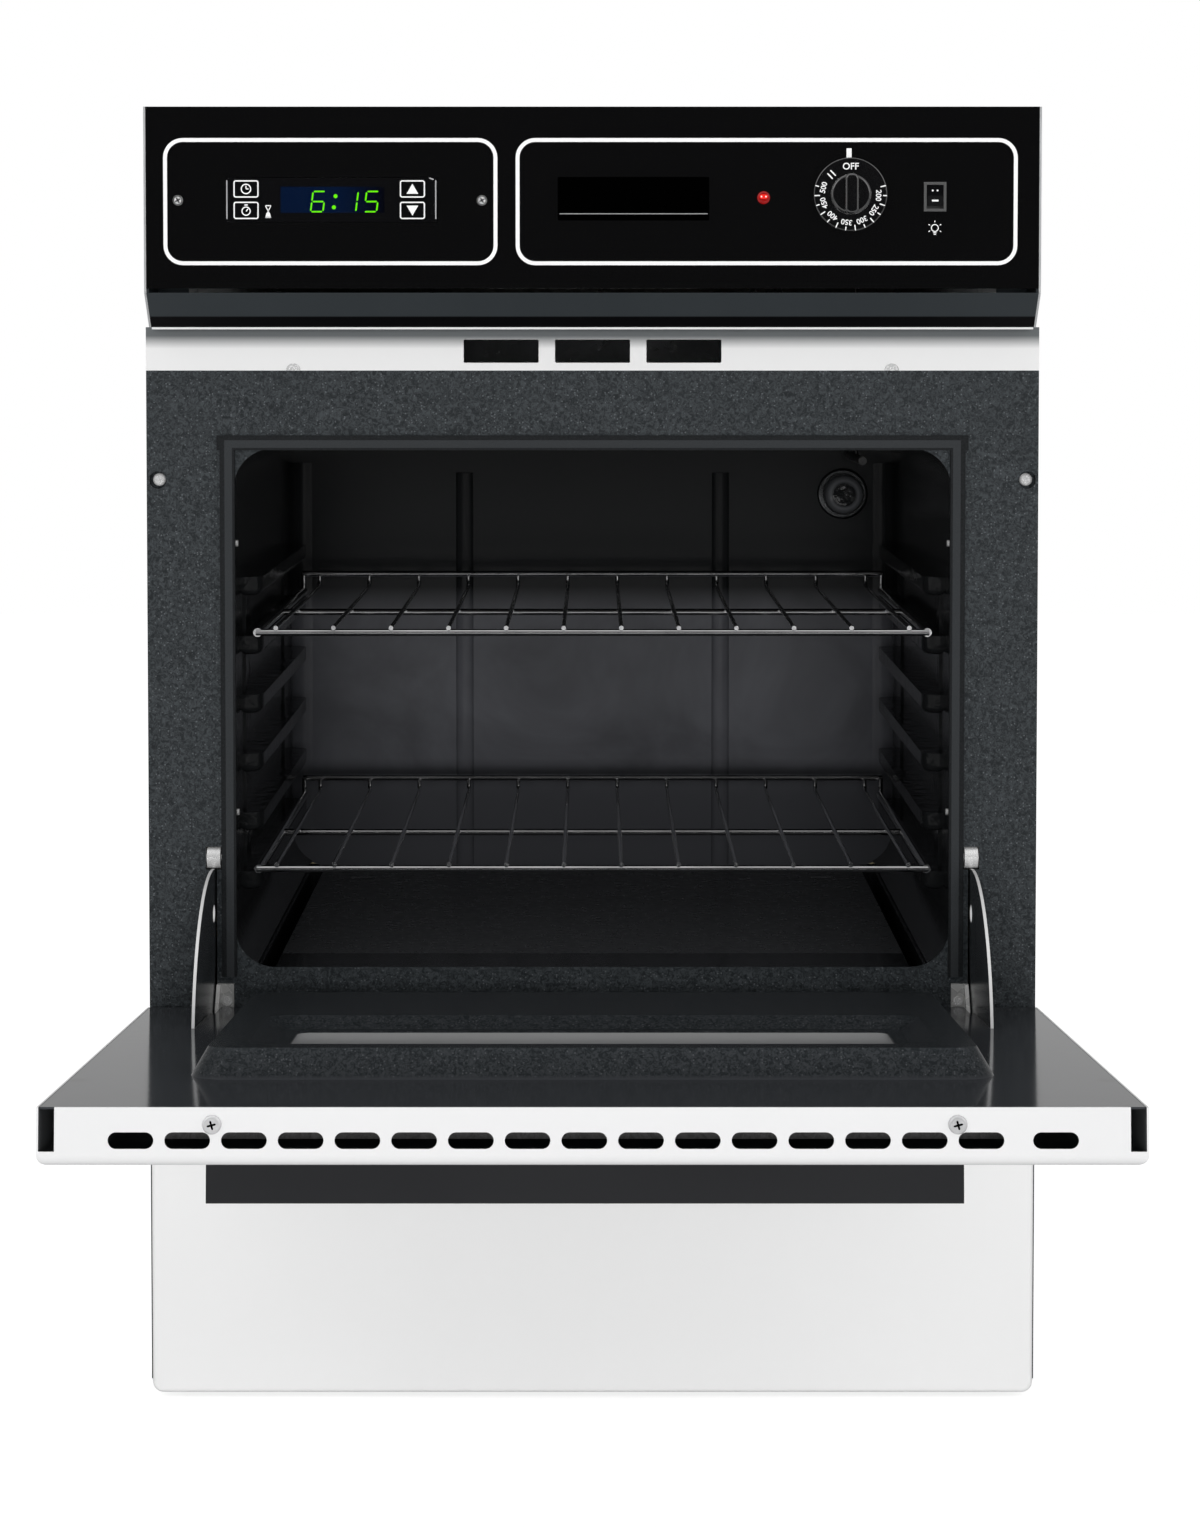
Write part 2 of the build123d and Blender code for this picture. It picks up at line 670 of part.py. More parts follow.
def cavity_back():
    """The back wall, with upright beads, round bosses, coved corners and the lamp's hole."""
    outer = area(2 * cavity_half + 2 * CAVITY_SHEET, CAVITY_HEIGHT + 2 * CAVITY_SHEET, 0, cavity_mid_z,
                 CAVITY_CORNER + CAVITY_SHEET)
    sheet = upright(outer, cavity_back_y, CAVITY_SHEET)
    bead_top = cavity_top_z - BEAD_TOP_GAP
    bead = Pos(BEAD_SPACING / 2, cavity_back_y, CAVITY_FLOOR) * extrude(Ellipse(BEAD_WIDTH / 2, BEAD_DEPTH),
                                                                        amount=bead_top - CAVITY_FLOOR)
    front = block((-cavity_half, cavity_half), (cavity_back_y - CAVITY_COVE, cavity_back_y),
                  (CAVITY_FLOOR, cavity_top_z))
    boss = rod((BOSS_SPACING / 2, cavity_back_y - BOSS_DEPTH, cavity_top_z - BOSS_DROP),
               (BOSS_SPACING / 2, cavity_back_y, cavity_top_z - BOSS_DROP), BOSS_RADIUS)
    cove = block((cavity_half - CAVITY_COVE, cavity_half), (cavity_back_y - CAVITY_COVE, cavity_back_y),
                 (CAVITY_FLOOR + CAVITY_CORNER, cavity_top_z - CAVITY_CORNER))
    hollow = rod((cavity_half - CAVITY_COVE, cavity_back_y - CAVITY_COVE, CAVITY_FLOOR),
                 (cavity_half - CAVITY_COVE, cavity_back_y - CAVITY_COVE, cavity_top_z), CAVITY_COVE)
    extras = both_sides(bead & front) + both_sides(boss) + both_sides(cove - hollow)
    hole = rod((lamp_x, cavity_back_y, lamp_z), (lamp_x, cavity_back_y + CAVITY_SHEET, lamp_z),
               LAMP_GLASS_RADIUS + LAMP_GLASS_WALL)
    return (sheet + extras) - hole


def guide_levels():
    """The heights of the ladders' ribs, from the lower rack's up."""
    return [RACK_LOWER_Z + RACK_PITCH * step for step in range(RACK_STEPS + GUIDE_SPARE + 1)]


def guide_start():
    """The front end of the ladders' ribs."""
    return rack_front_y + GUIDE_INSET / 2


def rib_top(level):
    """The height that a rack's side bar slides on."""
    return level - RACK_SIDE_RADIUS - RACK_TRAVEL_GAP


def rack_ladder():
    """The right ladder: ribs that a rack slides on, joined by two straps."""
    start = guide_start()
    end = cavity_back_y - CAVITY_COVE - GUIDE_INSET
    ribs = []
    for level in guide_levels():
        top = rib_top(level)
        rib = block((cavity_half - GUIDE_REACH, cavity_half), (start, end), (top - GUIDE_RIB_HEIGHT, top))
        crown = rib.edges().filter_by(Axis.Z).group_by(Axis.X)[0]
        rounded = fillet(crown, min(GUIDE_CROWN, GUIDE_REACH - GUIDE_SHEET))
        nose = rounded.edges().group_by(Axis.Z)[0]
        ribs += [fillet(nose, min(GUIDE_NOSE, GUIDE_RIB_HEIGHT / 2))]
    levels = guide_levels()
    low, high = rib_top(levels[0]) - GUIDE_RIB_HEIGHT, rib_top(levels[-1])
    straps = [block((cavity_half - GUIDE_SHEET, cavity_half), (y, y + GUIDE_STRAP_WIDTH), (low, high))
              for y in (start + GUIDE_INSET, end - GUIDE_INSET - GUIDE_STRAP_WIDTH)]
    return straps[0] + [straps[1]] + ribs


def wall_screws():
    """Small screw heads on the cavity's side walls, just inside its mouth."""
    inner = cavity_half - WALL_SCREW_HEIGHT
    heads = []
    for rise in (WALL_SCREW_LOW, WALL_SCREW_LOW + WALL_SCREW_PITCH):
        z = CAVITY_FLOOR + rise
        head = rod((inner, WALL_SCREW_DEPTH, z), (cavity_half, WALL_SCREW_DEPTH, z), WALL_SCREW_RADIUS)
        heads += both_sides(head)
    return heads


def oven_bottom():
    """The lift-out floor between the heat slots, with its edges turned down and two finger slots."""
    y = (sill_y + HINGE_GAP, BURNER_BOX_DEPTH)
    floor = block((-flat_half, flat_half), y, (CAVITY_FLOOR - CAVITY_SHEET, CAVITY_FLOOR))
    edge = block((flat_half - CAVITY_SHEET, flat_half), (y[0], y[1] - CAVITY_SHEET - HINGE_GAP),
                 (CAVITY_FLOOR - BURNER_BOX_FLANGE, CAVITY_FLOOR))
    slot = RectangleRounded(FINGER_SLOT_LENGTH, FINGER_SLOT_WIDTH, FINGER_SLOT_CORNER)
    slot_y = BURNER_BOX_DEPTH - FINGER_SLOT_INSET
    cut = Pos(flat_half - FINGER_SLOT_EDGE, slot_y, CAVITY_FLOOR - CAVITY_SHEET) * extrude(slot, CAVITY_SHEET)
    return (floor + both_sides(edge)) - both_sides(cut)


# Oven lamp
def lamp_holder():
    """The socket behind the back wall and the ring around the glass."""
    inside = cavity_back_y + CAVITY_SHEET
    hole = LAMP_GLASS_RADIUS + LAMP_GLASS_WALL
    ring = rod((lamp_x, cavity_back_y - LAMP_RING_DEPTH, lamp_z), (lamp_x, cavity_back_y, lamp_z),
               LAMP_RING_RADIUS)
    ring = fillet(ring.edges().group_by(Axis.Y)[0], LAMP_RING_DEPTH / 3)
    bore = rod((lamp_x, cavity_back_y - LAMP_RING_DEPTH, lamp_z), (lamp_x, cavity_back_y, lamp_z), hole)
    socket = rod((lamp_x, inside, lamp_z), (lamp_x, inside + LAMP_SOCKET_DEPTH, lamp_z), LAMP_RING_RADIUS)
    return [ring - bore, socket]


def lamp_glass():
    """The glass cup and the bulb inside it."""
    inside = cavity_back_y + CAVITY_SHEET
    tip = cavity_back_y - LAMP_GLASS_DEPTH
    outer = LAMP_GLASS_RADIUS + LAMP_GLASS_WALL
    cup = rod((lamp_x, tip, lamp_z), (lamp_x, inside, lamp_z), outer)
    cup = fillet(cup.edges().group_by(Axis.Y)[0], LAMP_GLASS_ROUND + LAMP_GLASS_WALL)
    hollow = rod((lamp_x, tip + LAMP_GLASS_WALL, lamp_z), (lamp_x, inside, lamp_z), LAMP_GLASS_RADIUS)
    hollow = fillet(hollow.edges().group_by(Axis.Y)[0], LAMP_GLASS_ROUND)
    bulb_y = tip + LAMP_GLASS_WALL * 2 + LAMP_BULB_RADIUS
    bulb = Part() + Pos(lamp_x, bulb_y, lamp_z) * Sphere(LAMP_BULB_RADIUS)
    stem = rod((lamp_x, bulb_y, lamp_z), (lamp_x, inside, lamp_z), LAMP_BULB_RADIUS / 2)
    return [cup - hollow, bulb + stem]


# Racks
def rack_bar(x, z, back_y, stop_z):
    """A bar that lies on the cross wires and turns up at the back."""
    with BuildPart() as bar:
        with BuildLine(Plane.YZ.offset(x)) as path:
            FilletPolyline((rack_front_y, z), (back_y, z), (back_y, stop_z), radius=RACK_BEND_RADIUS)
        with BuildSketch(Plane(origin=(x, rack_front_y, z), z_dir=(0, 1, 0))):
            Circle(RACK_BAR_RADIUS)
        sweep(path=path.line)
    return bar.part


def rack(level):
    """A wire rack: two cross wires and side bars, with bars on top that turn up to a raised wire."""
    back_y = rack_front_y + rack_depth - RACK_WIRE_RADIUS
    cross = [rack_front_y + RACK_WIRE_RADIUS, rack_front_y + rack_depth * RACK_MIDDLE]
    reach = rack_half - RACK_SIDE_RADIUS
    inset = RACK_WIRE_RADIUS / 2
    end = reach + inset
    wires = [rod((-end, y, level), (end, y, level), RACK_WIRE_RADIUS) for y in cross]
    side = rod((reach, rack_front_y + inset, level), (reach, rack_front_y + rack_depth - inset, level),
               RACK_SIDE_RADIUS)
    stop_z = level + RACK_STOP_HEIGHT
    stop = rod((-end, back_y, stop_z), (end, back_y, stop_z), RACK_WIRE_RADIUS)
    post = rod((reach, back_y, level), (reach, back_y, stop_z), RACK_POST_RADIUS)
    bars = []
    for place in range(RACK_BARS):
        x = (place - (RACK_BARS - 1) / 2) * rack_bar_pitch
        bars += [rack_bar(x, level + RACK_WIRE_RADIUS + RACK_BAR_RADIUS / 2, back_y, stop_z)]
    return wires[0] + wires[1:] + both_sides(side) + both_sides(post) + [stop] + bars


# Door, drawn closed
def door_skin():
    """The outer pan: rounded edges, slots along the top, open corners there and a window opening."""
    half = face_half
    low = PIVOT_Z - DOOR_TAIL
    pan = block((-half, half), (door_outer_y, door_inner_y), (low, door_top_z))
    pan = fillet(pan.edges().group_by(Axis.Y)[0], DOOR_EDGE_RADIUS)
    hollow = block((-half + DOOR_SHEET, half - DOOR_SHEET), (door_outer_y + DOOR_SHEET, door_inner_y),
                   (low + DOOR_SHEET, door_top_z - DOOR_SHEET))
    hollow = fillet(hollow.edges().group_by(Axis.Y)[0], DOOR_EDGE_RADIUS - DOOR_SHEET)
    window = upright(area(2 * window_half, WINDOW_HEIGHT, 0, window_mid_z, WINDOW_CORNER),
                     door_outer_y, DOOR_SHEET)
    notch = block((half - DOOR_SHEET - DOOR_NOTCH_WIDTH, half - DOOR_SHEET),
                  (door_inner_y - DOOR_NOTCH_DEPTH, door_inner_y), (door_top_z - DOOR_SHEET, door_top_z))
    liner_room = block((-half, half), (door_inner_y - DOOR_TAIL_SETBACK, door_inner_y),
                       (low, PIVOT_Z - DOOR_LINER_TAIL))
    cuts = [hollow, window, liner_room] + both_sides(notch) + both_sides(hinge_notch()) + door_slots()
    cuts += [rod((x, door_inner_y - DOOR_SCREW_DEPTH, door_top_z - DOOR_SHEET),
                 (x, door_inner_y - DOOR_SCREW_DEPTH, door_top_z), DOOR_SCREW_RADIUS + SCREW_CLEARANCE)
             for x in door_screw_places()]
    return pan - cuts


def door_slots():
    """The row of slots in the door's top edge, the last one set apart."""
    start = DOOR_SLOT_LEFT_INSET - face_half
    span = face_half - DOOR_SLOT_RIGHT_INSET - start
    pitch = span / (DOOR_SLOTS - 1 + DOOR_LAST_SLOT_SHARE)
    places = [start + pitch * place for place in range(DOOR_SLOTS)]
    slots = []
    for x in places + [start + span]:
        flat = SlotOverall(DOOR_SLOT_LENGTH, DOOR_SLOT_WIDTH)
        middle = Pos(x, door_inner_y - DOOR_SLOT_DEPTH, door_top_z - DOOR_SHEET)
        slots += [middle * extrude(flat, amount=DOOR_SHEET)]
    return slots


def door_screw_places():
    """Where the screws in the door's top edge sit across the door."""
    return [DOOR_SCREW_SHIFT - DOOR_SCREW_SPACING / 2, DOOR_SCREW_SHIFT + DOOR_SCREW_SPACING / 2]


def hinge_notch():
    """Room in the door for the bracket's ears, closed and open, as a block to cut with."""
    deep = PIVOT_INSET + EAR_RADIUS + ARM_SIDE_GAP
    return block((bracket_inner() - ARM_SIDE_GAP, bracket_outer() + ARM_SIDE_GAP),
                 (door_inner_y - deep, door_inner_y),
                 (PIVOT_Z - DOOR_TAIL, PIVOT_Z + EAR_TOP + 2 * ARM_SIDE_GAP))


def bracket_inner():
    """The inner face of a bracket's inner ear."""
    return hinge_x - ARM_SHEET / 2 - ARM_SIDE_GAP - EAR_SHEET


def bracket_outer():
    """The outer face of a bracket's outer ear."""
    return hinge_x + ARM_SHEET / 2 + ARM_SIDE_GAP + EAR_SHEET


def plug_block(shrink, low_y, high_y):
    """The raised plug as a tapered block between two depths, drawn in by shrink all round."""
    height = plug_high_z - plug_low_z
    middle = (plug_high_z + plug_low_z) / 2
    faces = []
    for y in (low_y, high_y):
        inset = shrink + PLUG_SLOPE * (y - door_inner_y) / PLUG_HEIGHT
        corner = max(PLUG_CORNER - inset, 1.0)
        sketch = area(2 * (plug_half - inset), height - 2 * inset, 0, middle, corner)
        faces += [Pos(0, y, 0) * (Plane.XZ * sketch)]
    return loft(faces)


def window_block(shrink, seat, top):
    """The recess around the inner window as a tapered block between its seat and the plug's face."""
    faces = []
    for y in (seat, top):
        inset = shrink + WINDOW_SLOPE * (plug_face_y - y) / WINDOW_RECESS
        corner = max(WINDOW_CORNER - inset / 2, 1.0)
        sketch = area(2 * (window_half - inset), WINDOW_HEIGHT - 2 * inset, 0, window_mid_z, corner)
        faces += [Pos(0, y, 0) * (Plane.XZ * sketch)]
    return loft(faces)


def door_liner():
    """The inner sheet: a raised plug with a recessed window, slots for the arms and a top flange."""
    half = face_half - DOOR_SHEET - HINGE_GAP
    low, high = PIVOT_Z - DOOR_LINER_TAIL, door_top_z - DOOR_SHEET
    back_y = door_inner_y - DOOR_SHEET
    sheet = block((-half, half), (back_y, door_inner_y), (low, high))
    flange = block((-half, half), (door_inner_y - LINER_FLANGE, back_y), (high - DOOR_SHEET, high))
    shell = sheet + [flange, plug_block(0, back_y, plug_face_y)]
    hollow = plug_block(DOOR_SHEET, back_y, plug_face_y - DOOR_SHEET)
    wall = window_block(-DOOR_SHEET, window_seat_y - DOOR_SHEET, plug_face_y)
    opening = window_block(0, window_seat_y, plug_face_y)
    edge = WINDOW_SLOPE + WINDOW_LAP
    through = upright(area(2 * (window_half - edge), WINDOW_HEIGHT - 2 * edge, 0, window_mid_z,
                           WINDOW_CORNER / 2), window_seat_y - 2 * DOOR_SHEET, 3 * DOOR_SHEET)
    body = (shell - hollow) + [wall]
    cuts = [opening, through] + both_sides(hinge_notch()) + both_sides(liner_slot())
    corner = block((half - DOOR_NOTCH_WIDTH, half), (door_inner_y - LINER_FLANGE, back_y),
                   (high - DOOR_SHEET, high))
    cuts += both_sides(corner)
    cuts += [rod((x, door_inner_y - DOOR_SCREW_DEPTH, high - DOOR_SHEET),
                 (x, door_inner_y - DOOR_SCREW_DEPTH, high), DOOR_SCREW_RADIUS + SCREW_CLEARANCE)
             for x in door_screw_places()]
    return body - cuts


def liner_slot():
    """The slot in the liner that an arm stands through."""
    half = ARM_SHEET / 2 + ARM_SIDE_GAP
    return block((hinge_x - half, hinge_x + half), (door_inner_y - DOOR_SHEET, door_inner_y),
                 (PIVOT_Z - DOOR_TAIL, PIVOT_Z + ARM_RADIUS + ARM_SIDE_GAP))


def window_inner_glass():
    """The glass that seats behind the liner's window recess."""
    width = 2 * (window_half - WINDOW_SLOPE)
    height = WINDOW_HEIGHT - 2 * WINDOW_SLOPE
    front = window_seat_y - DOOR_SHEET - WINDOW_GLASS
    return upright(area(width, height, 0, window_mid_z), front, WINDOW_GLASS)


def window_outer_glass():
    """The glass behind the opening in the outer pan."""
    width, height = 2 * (window_half + OUTER_WINDOW_LAP), WINDOW_HEIGHT + 2 * OUTER_WINDOW_LAP
    return upright(area(width, height, 0, window_mid_z), door_outer_y + DOOR_SHEET, WINDOW_GLASS)


def door_insulation():
    """A blanket inside the door, open around the window, short of the hinges and of the slots."""
    half = hinge_x - ARM_FOOT_WIDTH - 2 * EAR_SHEET
    low, high = PIVOT_Z + INSULATION_GAP, door_top_z - INSULATION_DOOR_DROP
    front, back = door_outer_y + DOOR_SHEET + WINDOW_GLASS, door_inner_y - DOOR_SHEET
    blanket = block((-half, half), (front, back - INSULATION_GAP), (low, high))
    lap = 2 * OUTER_WINDOW_LAP
    return blanket - block((-window_half - lap, window_half + lap), (front, back),
                           (window_mid_z - WINDOW_HEIGHT / 2 - lap, window_mid_z + WINDOW_HEIGHT / 2 + lap))


def pull(top, face, width, shift):
    """A pull: a plate on the face, a web that stands out from its top and a grip turned down."""
    out = face - HANDLE_STANDOFF
    x = (shift - width / 2, shift + width / 2)
    plate = block(x, (face - HANDLE_WALL, face), (top - HANDLE_HEIGHT, top))
    web = block(x, (out, face), (top - HANDLE_WALL, top))
    grip = block(x, (out, out + HANDLE_WALL), (top - HANDLE_HEIGHT, top))
    profile = plate + [web, grip]
    outer = profile.edges().filter_by(Axis.X).group_by(Axis.Y)[0]
    return fillet(outer, min(HANDLE_EDGE, HANDLE_WALL / 2 - EDGE_SPARE))


def door_handle():
    """The door's pull, high on its outer face."""
    return pull(door_top_z - HANDLE_DROP, door_outer_y, HANDLE_WIDTH, DOOR_SCREW_SHIFT)


def door_screws():
    """The screws in the door's top edge."""
    y = door_inner_y - DOOR_SCREW_DEPTH
    pieces = []
    for x in door_screw_places():
        head = rod((x, y, door_top_z), (x, y, door_top_z + DOOR_SCREW_HEAD_HEIGHT), DOOR_SCREW_HEAD)
        head = fillet(head.edges().group_by(Axis.Z)[-1], DOOR_SCREW_CROWN)
        pieces += [head + rod((x, y, door_top_z - DOOR_SCREW_LENGTH), (x, y, door_top_z), DOOR_SCREW_RADIUS)]
    return pieces


def hinge_arm():
    """The right arm: a round-edged plate about the pivot, with a foot behind the liner."""
    centre = Pos(pivot_y, PIVOT_Z)
    middle = (ARM_FRONT_ANGLE + ARM_BACK_ANGLE) / 2
    corners = [(3 * ARM_RADIUS * cos(radians(angle)), 3 * ARM_RADIUS * sin(radians(angle)))
               for angle in (ARM_FRONT_ANGLE, middle, ARM_BACK_ANGLE)]
    wedge = Polygon((0, 0), *corners, align=None)
    plate = centre * ((Circle(ARM_RADIUS) & wedge) + Circle(ARM_EYE_RADIUS))
    tail_back = door_inner_y - DOOR_SHEET - ARM_SHEET
    foot_low = PIVOT_Z + EAR_TOP + 2 * ARM_SIDE_GAP + HINGE_GAP
    plate = plate - centre * Circle(PIN_RADIUS + PIN_CLEARANCE)
    plate = plate - Pos(pivot_y + ARM_HOLE_REACH, PIVOT_Z) * Circle(ARM_HOLE_RADIUS)
    arm = sideways(plate, hinge_x - ARM_SHEET / 2, ARM_SHEET)
    foot = block((hinge_x - ARM_SHEET / 2 - ARM_FOOT_WIDTH, hinge_x - ARM_SHEET / 2),
                 (tail_back, tail_back + ARM_SHEET), (foot_low, PIVOT_Z + ARM_FOOT_TOP))
    return arm + foot


# Hinge pieces on the frame
def hinge_bracket():
    """The right bracket: two ears with flanges on the frame, and the pivot pin through them."""
    pieces = []
    for ear_x, turn in ((bracket_inner(), -1), (bracket_outer() - EAR_SHEET, 1)):
        with BuildSketch() as outline:
            with BuildLine():
                Polyline((pivot_y - EAR_RADIUS, PIVOT_Z), (pivot_y + EAR_RADIUS, PIVOT_Z - EAR_RADIUS / 2),
                         (face_y, PIVOT_Z), (face_y, PIVOT_Z + EAR_TOP),
                         (face_y - EAR_SHEET * 2, PIVOT_Z + EAR_TOP), close=True)
            make_face()
        shape = outline.sketch + Pos(pivot_y, PIVOT_Z) * Circle(EAR_RADIUS)
        shape = shape & Pos(face_y - CONTROL_PROUD / 2, PIVOT_Z) * Rectangle(CONTROL_PROUD, 4 * EAR_TOP)
        shape = shape - Pos(pivot_y, PIVOT_Z) * Circle(PIN_RADIUS)
        ear = sideways(shape, ear_x, EAR_SHEET)
        edge = ear_x if turn < 0 else ear_x + EAR_SHEET
        flange = block(sorted((edge, edge + turn * EAR_FLANGE)), (face_y - EAR_SHEET, face_y),
                       (PIVOT_Z + EAR_SHEET, PIVOT_Z + EAR_TOP))
        pieces += [ear + flange]
    pin = rod((bracket_inner(), pivot_y, PIVOT_Z), (bracket_outer(), pivot_y, PIVOT_Z), PIN_RADIUS)
    head = rod((bracket_outer(), pivot_y, PIVOT_Z),
               (bracket_outer() + ARM_SIDE_GAP / 2, pivot_y, PIVOT_Z), PIN_RADIUS + ARM_SIDE_GAP)
    return pieces + [pin + head]


def hinge_roller():
    """The right roller and the pin that carries it, held by two tabs behind the frame."""
    half = ROLLER_WIDTH / 2
    y, z = roller_y(), roller_z()
    roller = rod((hinge_x - half, y, z), (hinge_x + half, y, z), ROLLER_RADIUS)
    roller = roller - rod((hinge_x - half, y, z), (hinge_x + half, y, z), ROLLER_PIN_RADIUS + PIN_CLEARANCE)
    inner = half + ARM_SIDE_GAP
    outer = inner + EAR_SHEET
    pin = rod((hinge_x - outer, y, z), (hinge_x + outer, y, z), ROLLER_PIN_RADIUS)
    tabs = [block((low, low + EAR_SHEET), (frame_back_y, frame_back_y + 2 * ROLLER_RADIUS),
                  (z - ROLLER_RADIUS, z + ROLLER_RADIUS))
            for low in (hinge_x - outer, hinge_x + inner)]
    return [roller, pin + tabs]


def hinge_screws():
    """Screw heads on the brackets' flanges."""
    z = PIVOT_Z + (EAR_TOP + EAR_SHEET) / 2
    y = face_y - EAR_SHEET
    heads = []
    for x in (bracket_inner() - EAR_FLANGE / 2, bracket_outer() + EAR_FLANGE / 2):
        heads += both_sides(rod((x, y - HINGE_SCREW_HEIGHT, z), (x, y, z), HINGE_SCREW_RADIUS))
    return heads


# Control panel
def control_glass():
    """The glass front, with holes for the clock, the lamp, the dial's shaft and the switch."""
    sheet = upright(area(2 * housing_half, GLASS_HEIGHT, 0, glass_low_z + GLASS_HEIGHT / 2), panel_y,
                    GLASS_THICKNESS)
    clock = area(CLOCK_WIDTH + 2 * CLOCK_CLEARANCE, CLOCK_HEIGHT + 2 * CLOCK_CLEARANCE, clock_x, clock_z)
    holes = [upright(clock, panel_y, GLASS_THICKNESS),
             upright(switch_area(SWITCH_LIP), panel_y, GLASS_THICKNESS),
             rod((indicator_x, panel_y, indicator_z), (indicator_x, glass_back_y, indicator_z),
                 INDICATOR_RADIUS),
             rod((dial_x, panel_y, dial_z), (dial_x, glass_back_y, dial_z), SHAFT_HOLE_RADIUS)]
    return sheet - holes


def control_housing():
    """The box behind the glass: top, ends and sloped bottom, with flanges on the cabinet."""
    inner = housing_half - HOUSING_SHEET
    shell = sideways(housing_outline(0), -housing_half, 2 * housing_half)
    hollow = sideways(housing_outline(HOUSING_SHEET), -inner, 2 * inner)
    flanges = block((-housing_half, housing_half), (-HOUSING_SHEET, 0), (vent_top, control_top))
    edge = housing_half - HOUSING_FLANGE
    window = block((-edge, edge), (-HOUSING_SHEET, 0),
                   (vent_top + HOUSING_FLANGE, control_top - HOUSING_FLANGE))
    seat = housing_half - GLASS_SEAT
    front = block((-seat, seat), (panel_y, glass_back_y + HOUSING_SHEET),
                  (glass_low_z + GLASS_SEAT, control_top - GLASS_SEAT))
    return ((shell - hollow) + (flanges - window)) - front


def housing_outline(wall):
    """The housing's section, drawn in by its wall."""
    lip_z = bevel_top_z + wall
    with BuildSketch() as sketch:
        with BuildLine():
            Polyline((panel_y + wall, lip_z), (bevel_back_y, vent_top + wall), (0, vent_top + wall),
                     (0, control_top - wall), (glass_back_y, control_top - wall), (glass_back_y, lip_z),
                     close=True)
        make_face()
    return sketch.sketch


def control_trims():
    """The thin end caps of the control panel."""
    half = control_half
    with BuildSketch() as outline:
        with BuildLine():
            Polyline((panel_y, glass_low_z), (panel_y, control_top), (0, control_top), (0, vent_top),
                     (bevel_back_y, vent_top), (panel_y, bevel_top_z), close=True)
        make_face()
    return both_sides(sideways(outline.sketch, half - TRIM_THICKNESS, TRIM_THICKNESS))


def panel_screws():
    """The two small screws beside the clock."""
    return [rod((x, panel_y - PANEL_SCREW_HEIGHT, panel_screw_z), (x, panel_y, panel_screw_z),
                PANEL_SCREW_RADIUS) for x in (panel_screw_left_x, panel_screw_right_x)]


def button_places():
    """Where each button sits, by its name."""
    up, down = clock_z + BUTTON_PITCH / 2, clock_z - BUTTON_PITCH / 2
    return {"clock_button": (button_left_x, up), "timer_button": (button_left_x, down),
            "up_button": (button_right_x, up), "down_button": (button_right_x, down)}


def button(x, z):
    """A push button that stands out of the clock's face."""
    cap = upright(area(BUTTON_WIDTH, BUTTON_HEIGHT, x, z, BUTTON_CORNER), panel_y - BUTTON_PROUD,
                  BUTTON_PROUD + BUTTON_THICKNESS)
    return fillet(cap.edges().group_by(Axis.Y)[0], BUTTON_EDGE)


def clock_module():
    """The clock's case, flush with the glass, with pockets for the buttons and the display."""
    case = upright(area(CLOCK_WIDTH, CLOCK_HEIGHT, clock_x, clock_z), panel_y, CLOCK_DEPTH)
    pockets = []
    for x, z in button_places().values():
        pocket = area(BUTTON_WIDTH + 2 * BUTTON_CLEARANCE, BUTTON_HEIGHT + 2 * BUTTON_CLEARANCE, x, z,
                      BUTTON_CORNER + BUTTON_CLEARANCE)
        pockets += [upright(pocket, panel_y, BUTTON_THICKNESS + BUTTON_TRAVEL + BUTTON_CLEARANCE)]
    pockets += [upright(area(DISPLAY_WIDTH, DISPLAY_HEIGHT, display_x, clock_z), panel_y, DISPLAY_THICKNESS)]
    return case - pockets


def display_window():
    """The dark window over the clock's digits."""
    return upright(area(DISPLAY_WIDTH, DISPLAY_HEIGHT, display_x, clock_z), panel_y, DISPLAY_THICKNESS)


def indicator_lamp():
    """The round lamp beside the dial."""
    lamp = rod((indicator_x, panel_y - INDICATOR_PROUD, indicator_z),
               (indicator_x, panel_y - INDICATOR_PROUD + INDICATOR_LENGTH, indicator_z), INDICATOR_RADIUS)
    return fillet(lamp.edges().group_by(Axis.Y)[0], INDICATOR_CROWN)


def thermostat_knob():
    """The dial's skirt, hub and grip bar, with a blind hole for the shaft."""
    back = panel_y - DIAL_GAP
    skirt = rod((dial_x, back - DIAL_SKIRT, dial_z), (dial_x, back, dial_z), DIAL_RADIUS)
    skirt = fillet(skirt.edges().group_by(Axis.Y)[0], DIAL_SKIRT / 3)
    hub = rod((dial_x, back - HUB_HEIGHT, dial_z), (dial_x, back, dial_z), HUB_RADIUS)
    hub = fillet(hub.edges().group_by(Axis.Y)[0], HUB_HEIGHT / 4)
    bar = area(GRIP_THICKNESS, GRIP_LENGTH, dial_x, dial_z, GRIP_CORNER)
    grip = upright(bar, back - GRIP_HEIGHT, GRIP_HEIGHT)
    grip = fillet(grip.edges().group_by(Axis.Y)[0], GRIP_EDGE)
    bore = rod((dial_x, back - SHAFT_DEPTH_IN_KNOB, dial_z), (dial_x, back, dial_z),
               SHAFT_RADIUS + SHAFT_CLEARANCE)
    return (skirt + [hub, grip]) - bore


def switch_area(inset):
    """The light switch's outline, drawn in by inset."""
    return area(SWITCH_WIDTH - 2 * inset, SWITCH_HEIGHT - 2 * inset, switch_x, switch_z)


def rocker_axle(radius):
    """The rocker's axle, which ends inside the case's walls."""
    reach = SWITCH_WIDTH / 2 - SWITCH_LIP - SWITCH_WALL / 2
    y = panel_y + ROCKER_DEPTH
    return rod((switch_x - reach, y, switch_z), (switch_x + reach, y, switch_z), radius)


